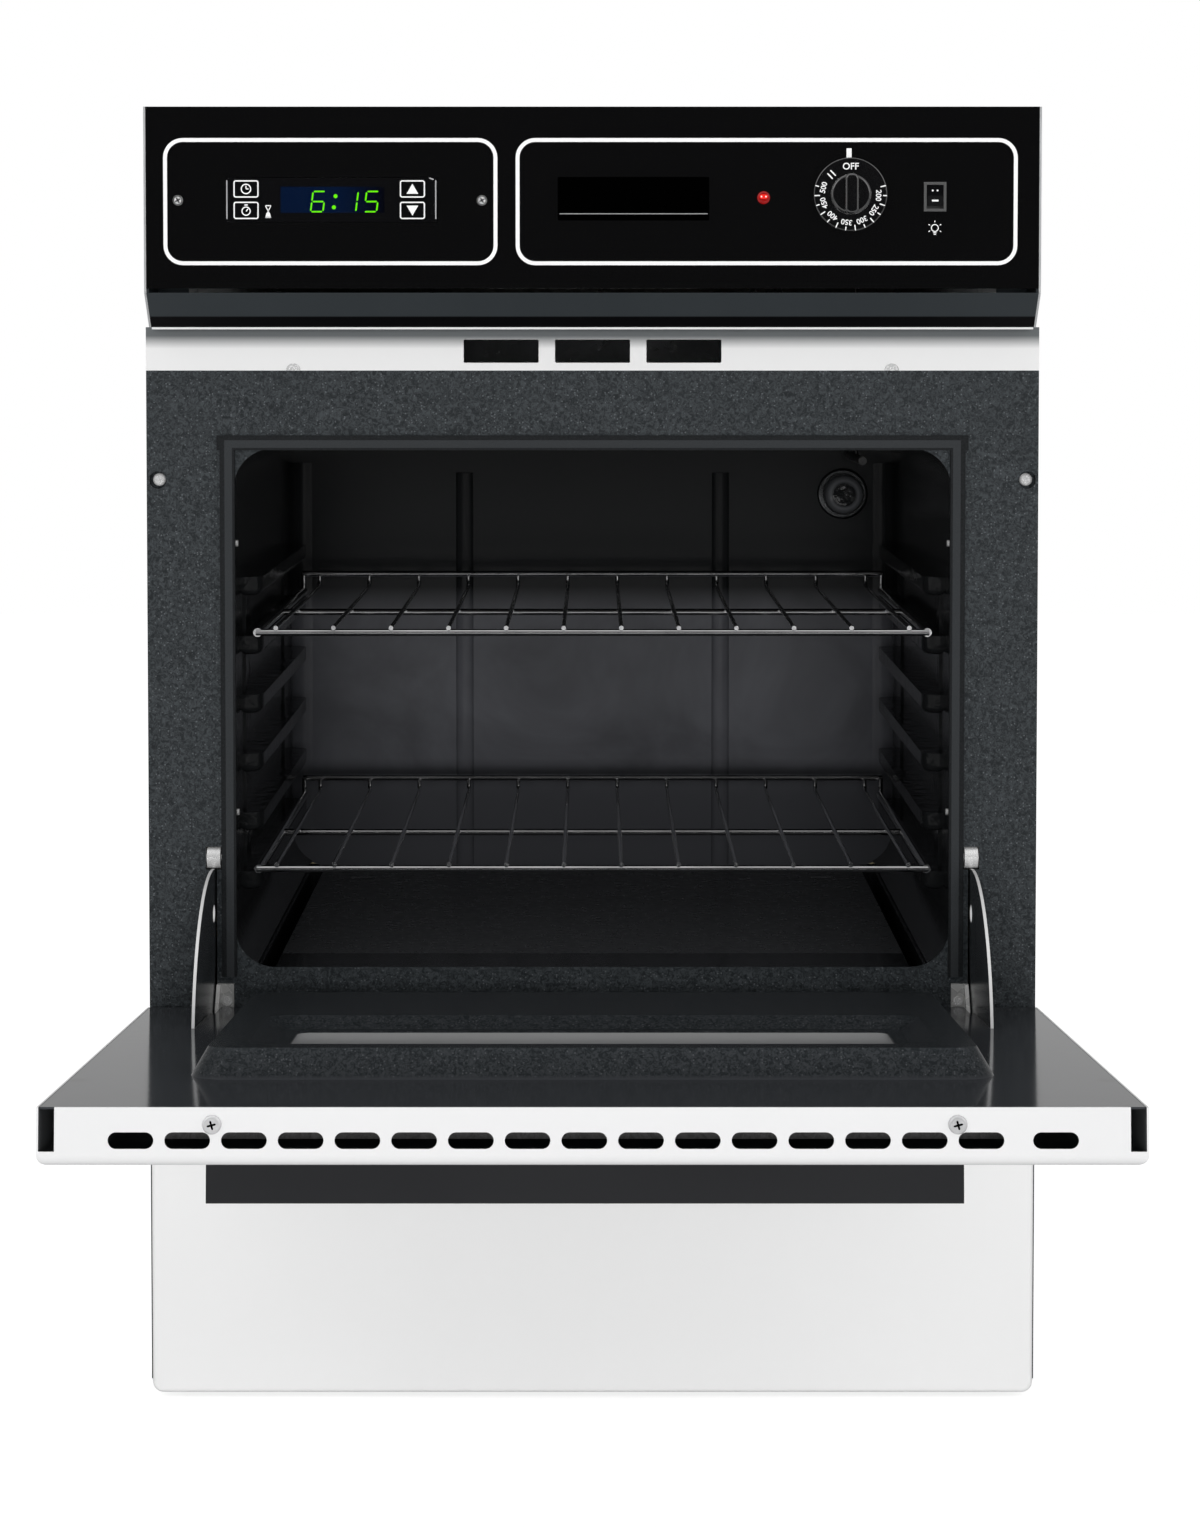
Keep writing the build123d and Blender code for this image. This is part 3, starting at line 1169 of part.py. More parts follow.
def rocker_bezel():
    """The frame and case of the light switch."""
    face = upright(switch_area(0), panel_y - SWITCH_PROUD, SWITCH_PROUD)
    case = upright(switch_area(SWITCH_LIP), panel_y, SWITCH_DEPTH)
    room = upright(switch_area(SWITCH_LIP + SWITCH_WALL), panel_y - SWITCH_PROUD,
                   SWITCH_PROUD + SWITCH_DEPTH - SWITCH_WALL)
    return (face + case) - [room, rocker_axle(ROCKER_AXLE_RADIUS + PIN_CLEARANCE)]


def light_rocker():
    """The rocking cap on its axle, tilted to its off side."""
    room = SWITCH_HEIGHT / 2 - SWITCH_LIP - SWITCH_WALL - ROCKER_GAP
    front = SWITCH_PROUD + ROCKER_DEPTH
    tilt = radians(ROCKER_TILT)
    reach = (room - front * sin(tilt)) / cos(tilt)
    back = ROCKER_DEPTH / 2
    shape = Polygon((-front, -reach), (-front + SWITCH_PROUD / 2, 0), (-front, reach), (back, reach / 2),
                    (back, -reach / 2), align=None)
    half = SWITCH_WIDTH / 2 - SWITCH_LIP - SWITCH_WALL - ROCKER_GAP
    cap = sideways(shape, switch_x - half, 2 * half)
    swing = Pos(0, panel_y + ROCKER_DEPTH, switch_z) * Rot(X=-ROCKER_TILT)
    return (swing * cap) + rocker_axle(ROCKER_AXLE_RADIUS)


# Thermostat
def thermostat():
    """The body and shaft behind the glass, the capillary and the sensing bulb in the cavity."""
    front = glass_back_y + THERMOSTAT_SETBACK
    body = upright(area(THERMOSTAT_SIZE, THERMOSTAT_SIZE, dial_x, dial_z), front, THERMOSTAT_DEPTH)
    shaft_tip = panel_y - SHAFT_DEPTH_IN_KNOB
    shaft = rod((dial_x, shaft_tip, dial_z), (dial_x, front, dial_z), SHAFT_RADIUS)
    collar = rod((dial_x, glass_back_y, dial_z), (dial_x, front, dial_z), SHAFT_RADIUS * 2)
    back = front + THERMOSTAT_DEPTH
    bulb_z = cavity_top_z - BULB_DROP
    high_z = dial_z - THERMOSTAT_SIZE / 4
    bends = [(dial_x, back, high_z), (dial_x, BULB_Y, high_z), (bulb_x, BULB_Y, high_z),
             (bulb_x, BULB_Y, bulb_z)]
    tube = [rod(bends[place], bends[place + 1], CAPILLARY_RADIUS) for place in range(len(bends) - 1)]
    tube += [Part() + Pos(*bend) * Sphere(CAPILLARY_RADIUS) for bend in bends[1:-1]]
    half = BULB_LENGTH / 2
    bulb = rod((bulb_x, BULB_Y - half, bulb_z), (bulb_x, BULB_Y + half, bulb_z), BULB_RADIUS)
    return body + [shaft, collar, bulb] + tube


# Burner compartment
def burner_box():
    """Walls around the burner, a sill at the cavity's mouth and ledges for the floor and the baffle."""
    half = ledge_x
    top = CAVITY_FLOOR - CAVITY_SHEET
    start, end = frame_back_y, BURNER_BOX_DEPTH
    wall = CAVITY_SHEET
    box = block((-half, half), (start, end), (burner_box_z, top))
    room = block((-half + wall, half - wall), (start + wall, end - wall), (burner_box_z, top))
    sill = block((-flat_half, flat_half), (start, sill_y), (top, CAVITY_FLOOR))
    floor_ledges = [block((-flat_half + wall, flat_half - wall), y, (top - wall, top))
                    for y in ((start, sill_y + BURNER_BOX_FLANGE), (end - BURNER_BOX_FLANGE, end))]
    baffle_z = CAVITY_FLOOR - BAFFLE_DROP
    baffle_ledges = [block((-half, half), (y, y + BURNER_BOX_FLANGE), (baffle_z - wall, baffle_z))
                     for y in (start + wall, end - wall - BURNER_BOX_FLANGE)]
    hole = rod((0, end - wall, burner_z), (0, end, burner_z), BURNER_RADIUS + SCREW_CLEARANCE)
    return (box - room) + [sill] + floor_ledges + baffle_ledges - hole


def burner_tube():
    """The burner: a tube closed at the front, with two rows of ports."""
    end = BURNER_BOX_DEPTH + VALVE_GAP
    tube = rod((0, BURNER_START, burner_z), (0, end, burner_z), BURNER_RADIUS)
    bore = rod((0, BURNER_START + BURNER_WALL, burner_z), (0, end, burner_z), BURNER_RADIUS - BURNER_WALL)
    span = BURNER_BOX_DEPTH - BURNER_START - 3 * BURNER_RADIUS
    ports = []
    for place in range(BURNER_PORTS):
        y = BURNER_START + BURNER_RADIUS + span * place / (BURNER_PORTS - 1)
        ports += [rod((-BURNER_RADIUS, y, burner_z), (BURNER_RADIUS, y, burner_z), BURNER_PORT_RADIUS)]
    return tube - ([bore] + ports)


def flame_baffle():
    """The plate that spreads the flame, on the burner box's ledges."""
    low = CAVITY_FLOOR - BAFFLE_DROP
    start, end = frame_back_y + CAVITY_SHEET + HINGE_GAP, BURNER_BOX_DEPTH - CAVITY_SHEET - HINGE_GAP
    plate = block((-baffle_half, baffle_half), (start, end), (low, low + BAFFLE_SHEET))
    edge = block((baffle_half - BAFFLE_SHEET, baffle_half),
                 (start + 2 * BURNER_BOX_FLANGE, end - 2 * BURNER_BOX_FLANGE), (low - BAFFLE_TAB, low))
    return plate + both_sides(edge)


def igniter():
    """The glow bar beside the burner."""
    x = BURNER_RADIUS
    y = (BURNER_START + BURNER_BOX_DEPTH) / 2
    bar = block((x, x + IGNITER_SIZE), (y, y + IGNITER_LENGTH), (burner_z - IGNITER_SIZE / 2,
                burner_z + IGNITER_SIZE / 2))
    stub = block((x, x + IGNITER_SIZE * 2), (y + IGNITER_LENGTH, y + IGNITER_LENGTH + IGNITER_SIZE),
                 (burner_z - IGNITER_SIZE, burner_z + IGNITER_SIZE))
    return bar + stub


# Gas and power
def regulator_back_y():
    """The back of the regulator, where the inlet pipe starts."""
    return CASE_DEPTH - GAS_REACH


def gas_inlet():
    """The threaded inlet that leaves through the back."""
    pipe = rod((GAS_X, regulator_back_y(), GAS_Z), (GAS_X, CASE_DEPTH, GAS_Z), GAS_INNER_RADIUS)
    return pipe + rod((GAS_X, CASE_DEPTH, GAS_Z), (GAS_X, CASE_DEPTH + GAS_STUB, GAS_Z), GAS_PIPE_RADIUS)


def feed_y():
    """The middle of the regulator and the valve, front to back."""
    return regulator_back_y() - REGULATOR_SIZE / 2


def gas_feed():
    """The pipe from the regulator up and across to the valve."""
    y = feed_y()
    low = (GAS_X, y, GAS_Z + REGULATOR_SIZE / 2)
    bend, end = (GAS_X, y, burner_z), (-VALVE_LENGTH / 2, y, burner_z)
    elbow = Part() + Pos(*bend) * Sphere(FEED_RADIUS)
    return rod(low, bend, FEED_RADIUS) + [elbow, rod(bend, end, FEED_RADIUS)]


def pressure_regulator():
    """The regulator: a block with a round cap."""
    y = feed_y()
    half = REGULATOR_SIZE / 2
    body = block((GAS_X - half, GAS_X + half), (y - half, y + half), (GAS_Z - half, GAS_Z + half))
    cap = rod((GAS_X - half - REGULATOR_CAP_HEIGHT, y, GAS_Z), (GAS_X - half, y, GAS_Z), REGULATOR_CAP_RADIUS)
    return body + cap


def gas_valve():
    """The valve and the orifice that feeds the burner."""
    y = feed_y()
    half = VALVE_SIZE / 2
    body = block((-VALVE_LENGTH / 2, VALVE_LENGTH / 2), (y - half, y + half),
                 (burner_z - half, burner_z + half))
    tip = BURNER_BOX_DEPTH + VALVE_GAP + HINGE_GAP
    return body + rod((0, tip, burner_z), (0, y - half, burner_z), ORIFICE_RADIUS)


def junction_box():
    """The box on the back panel that the supply enters, open at the top."""
    half = JUNCTION_WIDTH / 2
    inner = half - CASE_SHEET
    y = (case_back_y - JUNCTION_DEPTH, case_back_y)
    z = (POWER_Z - JUNCTION_HEIGHT / 2, POWER_Z + JUNCTION_HEIGHT / 2)
    box = block((POWER_X - half, POWER_X + half), y, z)
    room = block((POWER_X - inner, POWER_X + inner), (y[0] + CASE_SHEET, y[1] - CASE_SHEET),
                 (z[0] + CASE_SHEET, z[1]))
    hole = rod((POWER_X, y[1] - CASE_SHEET, POWER_Z), (POWER_X, y[1], POWER_Z),
               POWER_HOLE_RADIUS + CASE_SHEET)
    return box - [room, hole]


# Flue and insulation
def flue_duct():
    """A riser from the ceiling and a flat duct to the slots in the vent panel."""
    half = FLUE_WIDTH / 2
    wall = FLUE_SHEET
    high = duct_low_z + FLUE_HEIGHT
    ceiling = cavity_top_z + CAVITY_SHEET
    riser = block((-half, half), (FLUE_DEPTH - FLUE_RISER - wall, FLUE_DEPTH), (ceiling, duct_low_z))
    duct = block((-half, half), (frame_back_y, FLUE_DEPTH), (duct_low_z, high))
    inside = block((-half + wall, half - wall), (frame_back_y, FLUE_DEPTH - wall),
                   (duct_low_z + wall, high - wall))
    return (riser + duct) - [inside, flue_opening(ceiling, duct_low_z + wall - ceiling)]


def insulation():
    """Blankets around the cavity: top, sides and back, clear of the hinges, the lamp and the flue."""
    ceiling = cavity_top_z + CAVITY_SHEET
    outside = cavity_half + CAVITY_SHEET
    back = cavity_back_y + CAVITY_SHEET
    top = block((-outside, outside), (CASE_FLANGE, back), (ceiling, ceiling + INSULATION_TOP))
    riser = block((-FLUE_WIDTH / 2, FLUE_WIDTH / 2), (FLUE_DEPTH - FLUE_RISER - FLUE_SHEET, FLUE_DEPTH),
                  (ceiling, ceiling + INSULATION_TOP))
    tube = rod((bulb_x, BULB_Y, ceiling), (bulb_x, BULB_Y, ceiling + INSULATION_TOP), CAPILLARY_HOLE_RADIUS)
    side = block((outside, outside + INSULATION_SIDE), (HINGE_POCKET_DEPTH, back), (CAVITY_FLOOR, ceiling))
    rear = block((-outside, outside), (back, back + INSULATION_BACK), (CAVITY_FLOOR, ceiling))
    socket = rod((lamp_x, back, lamp_z), (lamp_x, back + INSULATION_BACK, lamp_z),
                 LAMP_RING_RADIUS + INSULATION_GAP)
    return [top - [riser, tube]] + both_sides(side) + [rear - socket]


# Broiler drawer
def drawer_front():
    """The drawer's front: a pan with soft edges, hollow at the back."""
    half = drawer_half
    pan = block((-half, half), (drawer_face_y, drawer_back_y), (DRAWER_BOTTOM, DRAWER_TOP))
    pan = fillet(pan.edges().filter_by(Axis.Y), DRAWER_EDGE_RADIUS)
    pan = fillet(pan.edges().group_by(Axis.Y)[0], DRAWER_EDGE_RADIUS / 2)
    wall = DRAWER_SHEET
    hollow = block((-half + wall, half - wall), (drawer_face_y + wall, drawer_back_y),
                   (DRAWER_BOTTOM + wall, DRAWER_TOP - wall))
    hollow = fillet(hollow.edges().filter_by(Axis.Y), DRAWER_EDGE_RADIUS - wall)
    return pan - fillet(hollow.edges().group_by(Axis.Y)[0], DRAWER_EDGE_RADIUS / 2 - wall / 2)


def drawer_box():
    """The drawer's box: a panel that closes the front, an open tray and a runner on each side."""
    wall = DRAWER_SHEET
    half = drawer_box_half
    top = DRAWER_BOX_Z + DRAWER_BOX_HEIGHT
    inner = drawer_half - wall - HINGE_GAP
    low, high = DRAWER_BOTTOM + wall + HINGE_GAP, DRAWER_TOP - wall - HINGE_GAP
    panel = upright(area(2 * inner, high - low, 0, (low + high) / 2, DRAWER_EDGE_RADIUS - wall),
                    drawer_back_y - wall, wall)
    end = drawer_back_y + DRAWER_BOX_DEPTH
    tray = block((-half, half), (drawer_back_y, end), (DRAWER_BOX_Z, top))
    room = block((-half + wall, half - wall), (drawer_back_y, end - wall), (DRAWER_BOX_Z + wall, top))
    runner = block((half, half + RUNNER_WIDTH), (drawer_back_y, end),
                   (rail_top_z + RUNNER_GAP, rail_top_z + RUNNER_GAP + RUNNER_HEIGHT))
    return panel + [tray - room] + both_sides(runner)


def drawer_rail():
    """The right rail: a shelf under the drawer's runner, on a strip on the casing's side."""
    inner = drawer_box_half + RUNNER_WIDTH / 3
    y = (frame_back_y + CASE_SHEET, drawer_back_y + DRAWER_BOX_DEPTH)
    shelf = block((inner, case_inner), y, (rail_top_z - RAIL_SHEET, rail_top_z))
    strip = block((case_inner - RAIL_SHEET, case_inner), y,
                  (rail_top_z - RAIL_SHEET, rail_top_z + RAIL_HEIGHT))
    return shelf + strip


def pan_section(inset):
    """The pan's outline seen from above, drawn in by inset."""
    return RectangleRounded(2 * (pan_half - inset), PAN_DEPTH - 2 * inset, max(PAN_CORNER - inset, 1.0))


def pan_middle():
    """The middle of the pan, front to back, resting in the drawer's box."""
    return drawer_back_y + DRAWER_BOX_DEPTH / 2


def broiler_pan():
    """The pan: a rounded tray with a rim."""
    floor = DRAWER_BOX_Z + DRAWER_SHEET
    tray = extrude(pan_section(PAN_RIM), amount=PAN_HEIGHT)
    rim = Pos(0, 0, PAN_HEIGHT - PAN_SHEET) * extrude(pan_section(0), amount=PAN_SHEET)
    room = Pos(0, 0, PAN_SHEET) * extrude(pan_section(PAN_RIM + PAN_SHEET), amount=PAN_HEIGHT)
    return Pos(0, pan_middle(), floor) * ((tray + rim) - room)


def broiler_grid():
    """The slotted grid that lies on the pan's rim."""
    top = DRAWER_BOX_Z + DRAWER_SHEET + PAN_HEIGHT
    sheet = extrude(pan_section(PAN_RIM - GRID_LAP), amount=GRID_SHEET)
    length = PAN_DEPTH - 2 * GRID_SLOT_MARGIN
    slots = []
    for place in range(GRID_SLOTS):
        x = (place - (GRID_SLOTS - 1) / 2) * grid_slot_pitch
        slots += [Pos(x, 0, 0) * extrude(Rectangle(GRID_SLOT_WIDTH, length), amount=GRID_SHEET)]
    return Pos(0, pan_middle(), top) * (sheet - slots)


def drawer_handle():
    """The drawer's pull, high on its front."""
    return pull(DRAWER_HANDLE_RISE + HANDLE_HEIGHT, drawer_face_y, HANDLE_WIDTH, 0)


def left(shape):
    """The left piece of a pair, from the right one."""
    return mirror(shape, about=Plane.YZ)


def nodes():
    """Every node's name with its solid, or its list of solids."""
    pieces = {
        "side_panel_left": left(side_panel()), "side_panel_right": side_panel(),
        "base_pan": base_pan(), "top_panel": top_panel(), "back_panel": back_panel(),
        "front_frame": front_frame(), "vent_panel": vent_panel(), "door_gasket": door_gasket(),
        "mounting_screws": mounting_screws(),
        "body_screws": vent_clips() + wall_screws() + hinge_screws() + panel_screws(),
        "cavity_side_left": left(cavity_side()), "cavity_side_right": cavity_side(),
        "cavity_top": cavity_top(), "cavity_back": cavity_back(), "rack_guides": both_sides(rack_ladder()),
        "oven_bottom": oven_bottom(), "burner_box": burner_box(), "burner_tube": burner_tube(),
        "flame_baffle": flame_baffle(), "igniter": igniter(), "gas_valve": gas_valve(),
        "pressure_regulator": pressure_regulator(), "gas_pipe": [gas_inlet(), gas_feed()],
        "junction_box": junction_box(), "thermostat": thermostat(), "lamp_holder": lamp_holder(),
        "lamp_bulb": lamp_glass(), "insulation": insulation(), "flue_duct": flue_duct(),
        "hinge_brackets": [solid for piece in hinge_bracket() for solid in both_sides(piece)],
        "hinge_rollers": [solid for piece in hinge_roller() for solid in both_sides(piece)],
        "control_glass": control_glass(), "control_housing": control_housing(),
        "control_trims": control_trims(), "clock_module": clock_module(), "display_window": display_window(),
        "indicator_lamp": indicator_lamp(), "rocker_bezel": rocker_bezel(),
        "drawer_rails": both_sides(drawer_rail()),
        "door_skin": opened([door_skin()]), "door_liner": opened([door_liner()]),
        "window_inner_glass": opened([window_inner_glass()]),
        "window_outer_glass": opened([window_outer_glass()]),
        "door_insulation": opened([door_insulation()]), "door_handle": opened([door_handle()]),
        "door_screws": opened(door_screws()), "hinge_arms": opened(both_sides(hinge_arm())),
        "rack_upper": rack(rack_upper_z), "rack_lower": rack(RACK_LOWER_Z),
        "drawer_front": drawer_front(), "drawer_box": drawer_box(), "broiler_pan": broiler_pan(),
        "broiler_grid": broiler_grid(), "drawer_handle": drawer_handle(),
        "thermostat_knob": thermostat_knob(), "light_rocker": light_rocker(),
    }
    for name, (x, z) in button_places().items():
        pieces[name] = button(x, z)
    return pieces


def main():
    """Write one STEP file for each node."""
    os.makedirs("parts", exist_ok=True)
    for name, shape in nodes().items():
        shapes = shape if isinstance(shape, list) else [shape]
        solids = [solid for piece in shapes for solid in piece.solids()]
        export_step(Compound(children=solids), f"parts/{name}.step")


main()
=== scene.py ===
import json
import math

import bmesh
import bpy
from mathutils import Matrix, Vector


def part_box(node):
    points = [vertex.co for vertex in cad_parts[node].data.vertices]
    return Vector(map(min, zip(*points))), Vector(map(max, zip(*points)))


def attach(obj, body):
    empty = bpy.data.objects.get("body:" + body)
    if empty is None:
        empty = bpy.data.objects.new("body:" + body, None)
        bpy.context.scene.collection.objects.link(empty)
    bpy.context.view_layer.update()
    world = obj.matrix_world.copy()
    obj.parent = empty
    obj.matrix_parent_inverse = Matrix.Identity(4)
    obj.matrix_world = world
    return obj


# Looks for the built-in gas oven. Lengths are in metres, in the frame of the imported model, and the places
# of print and marks are in millimetres.
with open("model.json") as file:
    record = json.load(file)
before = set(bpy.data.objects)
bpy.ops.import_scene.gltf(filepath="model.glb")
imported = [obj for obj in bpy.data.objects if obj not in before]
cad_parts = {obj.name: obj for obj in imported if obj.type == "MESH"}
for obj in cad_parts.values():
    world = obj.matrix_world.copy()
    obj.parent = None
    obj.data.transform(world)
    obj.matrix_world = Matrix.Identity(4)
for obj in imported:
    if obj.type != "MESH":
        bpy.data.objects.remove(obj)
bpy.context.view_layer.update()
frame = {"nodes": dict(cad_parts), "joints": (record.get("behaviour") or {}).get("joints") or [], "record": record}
nodes = frame["nodes"]
MM = 0.001


def reach(node):
    """A node's lowest and highest corners at rest, in millimetres."""
    return [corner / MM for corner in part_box(node)]


def middle(node):
    """The middle of a node's box at rest, in millimetres."""
    low, high = reach(node)
    return (low + high) / 2


# Camera: the photograph's viewing angle
PHOTO_HEIGHT_PX = 1527
CAMERA_PLACE = (0.0, -2.2029, 0.7187)
CAMERA_PITCH = 2.5
CAMERA_FOCAL_PX = 3227.4
SENSOR = 36.0
SHIFT_X = 0.0049
SHIFT_Y = -0.1899
NEAR_CLIP = 0.05

# Background: its brightness for matt surfaces, and for mirrors from behind the camera to ahead of it
MATT_BRIGHTNESS = 0.42
MIRROR_BRIGHTNESS = (0.02, 0.75)
MIRROR_TURN = (-0.95, -0.55)
FLOOR_HALF = 6.0
FLOOR_DROP = 0.0005
FLOOR_COLOR = (0.8, 0.8, 0.8)
FLOOR_GLOW = 0.7

# Lights: name, place, target, width, height and power in watts
LIGHTS = (
    ("key", (-1.9, -1.7, 2.5), (0, 0, 0.45), 1.8, 1.8, 8),
    ("fill", (2.1, -1.9, 1.9), (0, 0, 0.4), 1.6, 1.8, 6),
    ("top", (0.0, 0.3, 2.8), (0, 0.1, 0.5), 2.0, 1.4, 4),
    ("front", (0.0, -7.5, 0.6), (0, 0, 0.4), 4.0, 2.4, 400),
)
LIGHTS_WITHOUT_GLINT = ("front",)

# The open door, in metres
hinge = next(joint for joint in frame["joints"] if joint["name"] == "oven_door_hinge")
DOOR_ANGLE = math.radians(-hinge["range_deg"][0])
PIVOT = hinge["pos_m"][1:]
DOOR_ACROSS = (0, math.cos(DOOR_ANGLE), math.sin(DOOR_ANGLE))
DOOR_ALONG = (0, -math.sin(DOOR_ANGLE), math.cos(DOOR_ANGLE))
LINER_DEPTH = 0.012
DOOR_PLANE = PIVOT[0] * DOOR_ACROSS[1] + PIVOT[1] * DOOR_ACROSS[2] + LINER_DEPTH
DOOR_MIDDLE = (0.0, -0.246, 0.2627)
PLUG_RISE = (0.0005, 0.0025)
DIMPLE_X = 0.295
DIMPLE_FROM_HINGE = 0.336
DIMPLE_REACH = PIVOT[0] * DOOR_ALONG[1] + PIVOT[1] * DOOR_ALONG[2] + DIMPLE_FROM_HINGE
DIMPLE_RADIUS = 0.0055

# The oven's opening, its back wall and the parts seen in it, in metres
CAVITY_HALF = 0.244
CAVITY_TOP = 0.640
SEAL_BAND = (0.0006, 0.0058)
# Where the back wall gets painted light: the band's heights and the width of its soft edges
PAINTED_LIGHT_HEIGHTS = (0.36, 0.50)
PAINTED_LIGHT_EDGE = 0.012
LAMP_X, _, LAMP_Z = middle("lamp_bulb") * MM
LAMP_RADIUS = 0.015

# Heights where painted reflection and painted shadow change a front's tone, and the display's fade, in metres
HOUSING_BEND = (0.7291, 0.7299)
VENT_SHADE = (0.7080, 0.7165)
DISPLAY_FADE = (-0.170, -0.138)

# Print on the control panel, in millimetres. A plate is left, right, bottom and top, and a line x, z, x, z.
PANEL_Y = reach("control_glass")[0].y
PRINT_GAP = 0.05
PRINT_THICKNESS = 0.12
PANEL_FRAMES = ((-285.3, -63.2), (-51.1, 282.5))
PANEL_FRAME_HEIGHTS = (763.5, 847.8)
PANEL_FRAME_RADIUS = 13.0
PANEL_FRAME_LINE = 2.6
BADGE = (-23.1, 77.5, 793.2, 822.0)
BADGE_RADIUS = 0.6
BADGE_THICKNESS = 0.35
BADGE_LINE = (-22.0, 797.6, 76.6, 797.6)
BADGE_LINE_WIDTH = 0.5

# The clock's digits and the marks round them, in millimetres
SEGMENTS = {"6": "afgedc", "1": "bc", "5": "afgcd"}
TIME = (("6", -187.4), ("1", -165.6), ("5", -151.8))
DIGIT_BASE = 799.0
DIGIT_WIDTH = 8.2
DIGIT_HEIGHT = 13.4
DIGIT_SLANT = 0.13
DIGIT_STROKE = 1.05
STROKE_GAP = 0.35
COLON = ((-170.8, 809.3), (-171.9, 801.9))
COLON_RADIUS = 1.35
CLOCK_ENDS = (-243.0, -104.2)
CLOCK_END_HEIGHTS = (794.0, 820.0)
CLOCK_END_WIDTH = 0.8
CLOCK_CORNER = (-108.6, 821.4, -105.4, 820.2)
CLOCK_CORNER_WIDTH = 0.9
HOURGLASS_X = -215.6
HOURGLASS_HEIGHTS = (795.2, 803.0)
HOURGLASS_WAIST = 798.2

# The push buttons' marks, in millimetres
BUTTON_INSET = 0.55
BUTTON_CORNER = 1.7
BUTTON_LINE = 0.85
PICTURE_STROKE = 0.7
PICTURE_RING = 0.75
FINE_STROKE = 0.6

# The dial's marks, in millimetres and in degrees clockwise from the top
DIAL_X, DIAL_Z = 171.2, 810.3
DIAL_GAP = 1.2
SKIRT_THICKNESS = 3.0
SKIRT_Y = PANEL_Y - DIAL_GAP - SKIRT_THICKNESS
DIAL_INDEX = (168.7, 172.1, 832.8, 841.0)
DIAL_INDEX_RADIUS = 0.3
DIAL_NUMBERS = ("200", "250", "300", "350", "400", "450", "500")
NUMBER_START = 92
NUMBER_STEP = 32
NUMBER_RADIUS = 18.4
NUMBER_SIZE = 5.0
OFF_SIZE = 6.2
LETTER_LIFT = 0.1
LETTER_DEPTH = 0.05
LETTER_WEIGHT = 0.08
TICK_START = 76
TICK_STEP = 16
TICKS = 14
TICK_INNER = 20.2
TICK_INNER_AT_NUMBER = 21.4
TICK_OUTER = 24.2
TICK_WIDTH = 0.8
BROIL_ANGLE = 316
BROIL_REACH = (15.5, 21.0)
BROIL_SHIFT = 1.0
BROIL_WIDTH = 0.9

# The switch's and the signal lamp's marks, in millimetres
SWITCH_X = middle("rocker_bezel").x
BULB_MARK_Z = 787.6
BULB_RAYS = (-60, 0, 60, 120, 240)
ROCKER_DOT_Z = 813.0
ROCKER_DOT_SHIFT = 1.6
ROCKER_DOT_RADIUS = 0.65
ROCKER_DOT_Y = -52.75
ROCKER_BAR_HALF = 2.2
ROCKER_BAR_HEIGHTS = (805.7, 806.9)
ROCKER_BAR_RADIUS = 0.3
ROCKER_BAR_Y = -53.6
SIGNAL_RISE = 0.6
SIGNAL_CORE_HALF = (2.8, 1.5)
SIGNAL_CORE_RADIUS = 1.4
# Two white discs on the signal lamp are painted highlights.
SIGNAL_GLINT_SHIFT = 1.5
SIGNAL_GLINT_RADIUS = 0.6
SIGNAL_GLINT_LIFT = 0.15

# Screw recesses and the lip under the panel, in millimetres. A ring is its radius and line, and a cross is
# how far its first stroke goes across and up from the middle, and its line.
# The rings and crosses are dark ink for the shade in the screw recesses: painted shade.
PANEL_SCREWS = (-275.5, -73.5)
PANEL_SCREW_Z = 806.5
PANEL_SCREW_HEAD = 1.2
PANEL_SCREW_RING = (3.2, 0.7)
PANEL_CROSS = (1.9, 1.1, 0.9)
DOOR_SCREWS = (-207.2, 198.8)
DOOR_SCREW_Z = 288.3
DOOR_SCREW_SINK = 0.1
DOOR_CROSS = (2.6, 0.7, 1.1)
LIP_INSET = 0.5
LIP_GAP = 0.1
LIP_HEIGHT = 1.4
LIP_Y = -20.0
LIP_DEPTH = 9.5


# Scene
def make_camera():
    """The camera, with the photograph's lens, height and framing."""
    data = bpy.data.cameras.new("camera")
    data.sensor_fit = "VERTICAL"
    data.sensor_height = SENSOR
    data.lens = CAMERA_FOCAL_PX / PHOTO_HEIGHT_PX * SENSOR
    data.shift_x = SHIFT_X
    data.shift_y = SHIFT_Y
    data.clip_start = NEAR_CLIP
    camera = bpy.data.objects.new("camera", data)
    camera.location = CAMERA_PLACE
    camera.rotation_euler = (math.radians(90 - CAMERA_PITCH), 0, 0)
    bpy.context.scene.collection.objects.link(camera)
    bpy.context.scene.camera = camera


def make_light(name, place, target, width, height, power):
    """A soft area light that looks at a point."""
    data = bpy.data.lights.new(name, "AREA")
    data.shape = "RECTANGLE"
    data.size = width
    data.size_y = height
    data.energy = power
    light = bpy.data.objects.new(name, data)
    light.location = place
    aim = Vector(target) - Vector(place)
    light.rotation_euler = aim.to_track_quat("-Z", "Y").to_euler()
    light.visible_glossy = name not in LIGHTS_WITHOUT_GLINT
    bpy.context.scene.collection.objects.link(light)


def number_mix(tree, factor, first, second):
    """A number that goes from the first to the second with a factor. Each end is a number or a socket."""
    node = tree.nodes.new("ShaderNodeMix")
    node.data_type = "FLOAT"
    tree.links.new(factor, node.inputs["Factor"])
    for name, value in (("A", first), ("B", second)):
        if isinstance(value, float):
            node.inputs[name].default_value = value
        else:
            tree.links.new(value, node.inputs[name])
    return node.outputs["Result"]


